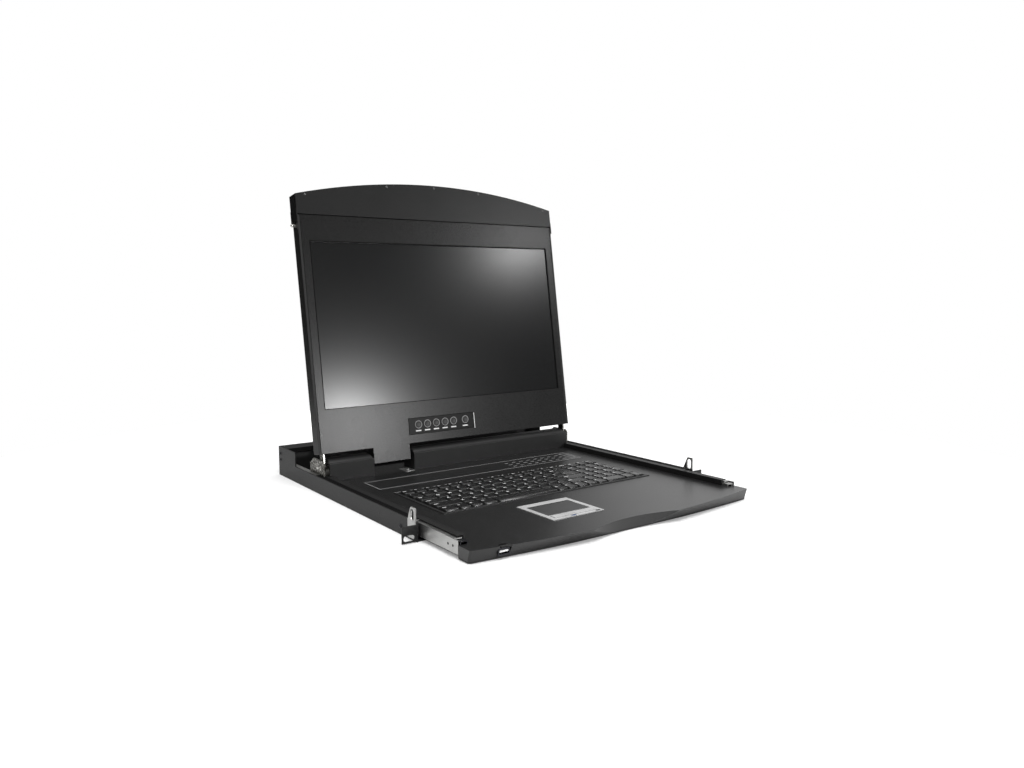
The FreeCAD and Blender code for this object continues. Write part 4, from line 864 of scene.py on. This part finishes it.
# ------------------------------------------------------------ painted shade in the seams of the screen
DISPLAY_HALF = 204.9
DISPLAY_BOTTOM = 78.8
DISPLAY_TOP = 309.2
DISPLAY_SHADE_SIDE = 1.2
DISPLAY_SHADE_TOP = 1.5
DISPLAY_SHADE_BOTTOM = 0.8
SEAM_SHADE = (-219.6, 219.6, 345.7, 346.98)


def screen_seam_shade():
    """Painted shade: a dark strip in the seam under the cap, and a dark shadow line round the display."""
    face = corners("lcd_bezel", SCREEN)[0].y
    outer = DISPLAY_HALF + DISPLAY_SHADE_SIDE
    edges = ((-outer, outer, DISPLAY_TOP, DISPLAY_TOP + DISPLAY_SHADE_TOP),
             (-outer, outer, DISPLAY_BOTTOM - DISPLAY_SHADE_BOTTOM, DISPLAY_BOTTOM),
             (-outer, -DISPLAY_HALF, DISPLAY_BOTTOM, DISPLAY_TOP),
             (DISPLAY_HALF, outer, DISPLAY_BOTTOM, DISPLAY_TOP))
    seam = Soup()
    seam.box(*SEAM_SHADE[:2], face - 0.07, face + 0.1, *SEAM_SHADE[2:])
    for x0, x1, up0, up1 in edges:
        seam.box(x0, x1, face - 0.03, face + 0.1, up0, up1)
    piece("cap_seam_shade", seam, SCREEN, "screen", "painted_shade_and_dark_print")


# ------------------------------------------------------------ lower edge of the front lip
LIP_REAR = -76.2
LIP_END = -96.0
LIP_FRONT = -104.8
LIP_BULGE = 10.5
LIP_CORNER = 2.5
LIP_STEPS = 48
# Section of the edge: (distance inwards from the lip's face, height).
LIP_SECTION = ((0.05, 3.0), (0.05, 1.5), (0.9, 0.6), (1.9, 0.6), (2.0, 3.0))


def lip_skirt():
    """Edge that hangs below the lip: an arc in plan, cut straight in its middle."""
    half = corners("palm_deck")[1].x
    arc_half = half - LIP_CORNER
    curve = (arc_half ** 2 + LIP_BULGE ** 2) / (2 * LIP_BULGE)
    path = [(-half, LIP_REAR), (-half, LIP_END + LIP_CORNER)]
    for step in range(LIP_STEPS + 1):
        x = arc_half * (2 * step / LIP_STEPS - 1)
        y = LIP_END - LIP_BULGE + curve - math.sqrt(curve ** 2 - x ** 2)
        path.append((x, max(y, LIP_FRONT)))
    path.extend([(half, LIP_END + LIP_CORNER), (half, LIP_REAR)])
    rings = []
    for i, (x, y) in enumerate(path):
        before = Vector(path[max(i - 1, 0)])
        after = Vector(path[min(i + 1, len(path) - 1)])
        along = (after - before).normalized()
        rings.append([(x - along.y * inward, y + along.x * inward, z) for inward, z in LIP_SECTION])
    skirt = Soup()
    skirt.rings(rings)
    piece("lip_skirt", skirt, UPRIGHT, "drawer", "powder_coat")


# ------------------------------------------------------------ back of the screen
# Steps of the embossed panel: (half width, bottom, top, corner radius, rise over the back).
PANEL_STEPS = ((118, 72, 212, 9, -0.4), (118, 72, 212, 9, 0.1), (117, 73, 211, 8, 0.7),
               (115.5, 74.5, 209.5, 7, 0.9))
LOUVRE_GROUPS = (-82.0, 82.0)
LOUVRE_ROWS = 7
LOUVRE_BOTTOM = 246.0
LOUVRE_PITCH = 9.0
LOUVRE_HALF = 47.0
LOUVRE_HEIGHT = 4.7
VENT_SHADE_HEIGHT = 1.5
# Section of a louvre as (rise over the back, height), and its rise along its length as (distance
# from its middle, share).
LOUVRE_SECTION = ((0.1, 0.0), (0.8, 1.6), (1.3, 4.2), (1.3, LOUVRE_HEIGHT))
LOUVRE_TAPER = ((-52.0, 0.05), (-49.5, 0.8), (-47.0, 1.0), (47.0, 1.0), (49.5, 0.8), (52.0, 0.05))


def screen_back():
    """Embossed panel, and two groups of louvres with their vents drawn as dark strips of painted shade."""
    face = corners("lcd_rear_shell", SCREEN)[1].y
    root = face - 0.4
    relief = Soup()
    vents = Soup()
    relief.rings([upright_ring(-half, half, bottom, top, radius, face + rise)
                  for half, bottom, top, radius, rise in PANEL_STEPS])
    for middle in LOUVRE_GROUPS:
        for row in range(LOUVRE_ROWS):
            low = LOUVRE_BOTTOM + row * LOUVRE_PITCH
            high = low + LOUVRE_HEIGHT
            rings = []
            for along, share in LOUVRE_TAPER:
                x = middle + along
                ring = [(x, face + rise * share, low + up) for rise, up in LOUVRE_SECTION]
                rings.append([(x, root, low), *ring, (x, root, high)])
            relief.rings(rings)
            # Painted shade: a dark strip above each louvre where its vent opening is in shadow.
            vents.box(middle - LOUVRE_HALF, middle + LOUVRE_HALF, face - 0.3, face + 0.04, high,
                      high + VENT_SHADE_HEIGHT)
    piece("back_relief", relief, SCREEN, "screen", "powder_coat")
    piece("back_vent_shade", vents, SCREEN, "screen", "painted_shade_and_dark_print")


# ------------------------------------------------------------ computer ports and their numbers
PORT_COUNT = 8
PORT_PITCH = 33.0
PORT_Z = 15.5
PORT_ROOT = 411.6
PORT_PLATE_Y = (410.8, 411.7)
PORT_PLATE_HALF = 15.3
PORT_PLATE_RISE = 6.2
PORT_BODY_HALF = 9.5
PORT_BODY_Z = (8.0, 20.7)
D_HALF_WIDTH = 8.4
D_HALF_HEIGHT = 4.15
D_LEAN = 1.5
JACK_SPREAD = 12.5
# Turned about a jack screw's axis: (radius, distance behind the rack flanges).
JACK_SCREW = ((2.7, PORT_ROOT), (2.7, 416.3), (2.3, 416.6), (1.5, 416.6), (1.5, 414.5),
              (0.1, 414.5))
CONTACT_PITCH = 2.29
CONTACT_ROW_PITCH = 1.98
CONTACT_SHIFTS = (0.0, -1.1, 0.0)
CONTACTS_IN_ROW = 5
# Turned about a contact's axis: (radius, distance before the shell's end).
CONTACT = ((0.62, 0.7), (0.62, 0.44), (0.3, 0.42))
NUMBER_SIZE = 6.5
NUMBER_Z = 27.5


def d_ring(cx, y, inset):
    """D-shaped ring of a port shell, its wider side up."""
    radius = 1.7 - inset * 0.6
    half = D_HALF_WIDTH - inset - radius
    rise = D_HALF_HEIGHT - inset - radius
    ring = []
    for x, z, start in ((half, rise, 0), (-half, rise, 90), (D_LEAN - half, -rise, 180),
                        (half - D_LEAN, -rise, 270)):
        for step in range(5):
            a = math.radians(start + 22.5 * step)
            ring.append((cx + x + radius * math.cos(a), y, PORT_Z + z + radius * math.sin(a)))
    return ring


def port_shell(shells, cx, front, end):
    """Mounting plate, body, hollow D-shaped shell and the two jack screws beside it."""
    plate = (cx - PORT_PLATE_HALF, cx + PORT_PLATE_HALF, PORT_Z - PORT_PLATE_RISE,
             PORT_Z + PORT_PLATE_RISE)
    shells.rings([upright_ring(*plate, 1.5, y) for y in PORT_PLATE_Y])
    shells.box(cx - PORT_BODY_HALF, cx + PORT_BODY_HALF, front, PORT_PLATE_Y[0], *PORT_BODY_Z)
    shells.rings([d_ring(cx, PORT_ROOT, 0.0), d_ring(cx, end - 0.3, 0.0), d_ring(cx, end, 0.25),
                  d_ring(cx, end - 0.2, 0.55), d_ring(cx, PORT_ROOT, 0.55)], looped=True)
    for _, side in SIDES:
        shells.turned(JACK_SCREW, (cx + side * JACK_SPREAD, 0, PORT_Z), BACK, 6)


def port_contacts(contacts, cx, end):
    profile = [(radius, end - before) for radius, before in CONTACT]
    for row, shift in enumerate(CONTACT_SHIFTS):
        for pin in range(CONTACTS_IN_ROW):
            x = cx + (pin - 2) * CONTACT_PITCH + shift
            z = PORT_Z + (1 - row) * CONTACT_ROW_PITCH
            contacts.turned(profile, (x, 0, z), BACK, 8)


def ports():
    """A row of ports in the rear panel, with a plain number over each."""
    low, high = corners("computer_ports")
    end = high.y
    panel = corners("rear_panel")[1].y
    first = (low.x + high.x) / 2 - (PORT_COUNT - 1) / 2 * PORT_PITCH
    shells = Soup()
    blocks = Soup()
    contacts = Soup()
    numbers = Soup()
    for port in range(PORT_COUNT):
        cx = first + port * PORT_PITCH
        port_shell(shells, cx, low.y, end)
        blocks.rings([d_ring(cx, PORT_ROOT, 0.6), d_ring(cx, end - 0.7, 0.6),
                      d_ring(cx, end - 0.5, 0.8)])
        port_contacts(contacts, cx, end)
        # Read from behind, so the digits run towards the left.
        points, faces = glyphs(str(port + 1))
        reach = max(px for px, _, _ in points)
        numbers.mesh([(cx + (reach / 2 - px) * NUMBER_SIZE, panel + 0.03 + pz * NUMBER_SIZE,
                       NUMBER_Z + py * NUMBER_SIZE) for px, py, pz in points], faces)
    made = piece("port_shells", shells, UPRIGHT, "housing", "port_metal")
    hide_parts("computer_ports")
    piece("port_blocks", blocks, UPRIGHT, "housing", "black_plastic")
    piece("port_contacts", contacts, UPRIGHT, "housing", "port_metal")
    piece("port_numbers", numbers, UPRIGHT, "housing", "print_white")


# ------------------------------------------------------------ floor, light, world
# In metres, like all places of the floor and the lamps.
FLOOR_RADIUS = 0.85
FLOOR_SIDES = 64
# Headings between which the white backdrop stands for mirrored rays, from straight back towards
# the right: where it begins and where it ends, each with a soft edge.
BACKDROP_BEGINS = (math.radians(35), math.radians(49))
BACKDROP_ENDS = (math.radians(95), math.radians(120))


def stage_floor():
    """Pale paper that keeps the object's shadow, lit up towards white away from the object."""
    turns = [2 * math.pi * i / FLOOR_SIDES for i in range(FLOOR_SIDES)]
    rim = [(FLOOR_RADIUS * math.cos(a), FLOOR_RADIUS * math.sin(a), 0) for a in turns]
    data = bpy.data.meshes.new("floor")
    data.from_pydata(rim, [], [tuple(range(FLOOR_SIDES))])
    floor = bpy.data.objects.new("floor", data)
    bpy.context.scene.collection.objects.link(floor)
    s = Shader("floor")
    tone = s.blend(s.mapped(s.noise(8.0), 0.0, 1.0), grey(0.74), grey(0.77))
    place = s.add("ShaderNodeTexCoord").outputs["Object"]
    away = s.add("ShaderNodeVectorMath", {0: place}, operation="LENGTH").outputs["Value"]
    glow = s.math("MULTIPLY", s.seen(0.3), s.mapped(away, 0.22, 1.0, 0.34, 0.78))
    plain = s.add("ShaderNodeBsdfDiffuse", {"Color": tone}).outputs[0]
    white = s.add("ShaderNodeEmission", {"Color": grey(1.0), "Strength": glow}).outputs[0]
    both = s.add("ShaderNodeAddShader", {0: plain, 1: white}).outputs[0]
    s.feed(s.out.inputs["Surface"], both)
    data.materials.append(MATERIALS["floor"])


def lamp(name, aim, azimuth, elevation, distance, width, height, power):
    """Soft box: azimuth is turned from the front (-Y) towards +X."""
    data = bpy.data.lights.new(name, "AREA")
    data.shape = "ELLIPSE"
    data.size = width
    data.size_y = height
    data.energy = power
    made = bpy.data.objects.new(name, data)
    bpy.context.scene.collection.objects.link(made)
    a = math.radians(azimuth)
    e = math.radians(elevation)
    out = Vector((math.sin(a) * math.cos(e), -math.cos(a) * math.cos(e), math.sin(e)))
    made.location = Vector(aim) + out * distance
    made.rotation_euler = out.to_track_quat("Z", "Y").to_euler()
    made.visible_camera = False


def studio_world():
    """Soft overhead light, and a white backdrop that the camera sees all round.

    Mirrored rays find the backdrop only where it stands: behind the object, to the right.
    """
    world = bpy.data.worlds.new("studio")
    bpy.context.scene.world = world
    world.use_nodes = True
    w = Nodes(world.node_tree)
    generated = w.add("ShaderNodeTexCoord").outputs["Generated"]
    direction = w.add("ShaderNodeSeparateXYZ", {0: generated}).outputs
    heading = w.math("ARCTAN2", direction["X"], direction["Y"])
    overhead = w.eased(direction["Z"], 0.02, 1.35, 0.3, 0.9)
    aside = w.eased(direction["X"], 0.0, 0.30, 0.55, 1.0)
    studio = w.add("ShaderNodeBackground", {"Color": grey(1.0),
                                            "Strength": w.math("ADD", overhead, aside)})
    backdrop = w.add("ShaderNodeBackground", {"Color": grey(1.0), "Strength": 1.0})
    stands = w.math("MULTIPLY", w.eased(heading, 0.0, 1.0, *BACKDROP_BEGINS),
                    w.eased(heading, 1.0, 0.0, *BACKDROP_ENDS))
    stands = w.math("MULTIPLY", stands, w.eased(direction["Z"], 1.0, 0.0, 0.35, 0.6))
    shown = w.add("ShaderNodeMixShader", {0: w.seen(stands), 1: studio.outputs[0],
                                          2: backdrop.outputs[0]})
    w.add("ShaderNodeOutputWorld", {"Surface": shown.outputs[0]})


# ------------------------------------------------------------ the scene
set_camera()
finish_nodes()
keyboard()
strip_print()
keyboard_edge_highlight()
screen_buttons()
touch_pad()
front_usb()
housing_screws()
screen_screws()
bracket_screw_recess_shade()
hinges()
slide_top_shade()
hinge_ridges()
drawer_hems()
cable_tab()
slide_tips()
screen_seam_shade()
lip_skirt()
screen_back()
ports()
stage_floor()
lamp("key", aim=(0, 0, 0.1), azimuth=-20, elevation=62, distance=2.2, width=1.4, height=1.0,
     power=30)
lamp("low_front", aim=(-0.20, 0.13, 0.10), azimuth=25, elevation=6.5, distance=2.4, width=0.16,
     height=0.14, power=13)
lamp("high_front", aim=(0.15, 0.16, 0.30), azimuth=39, elevation=18.5, distance=2.4, width=0.14,
     height=0.12, power=4.8)
studio_world()
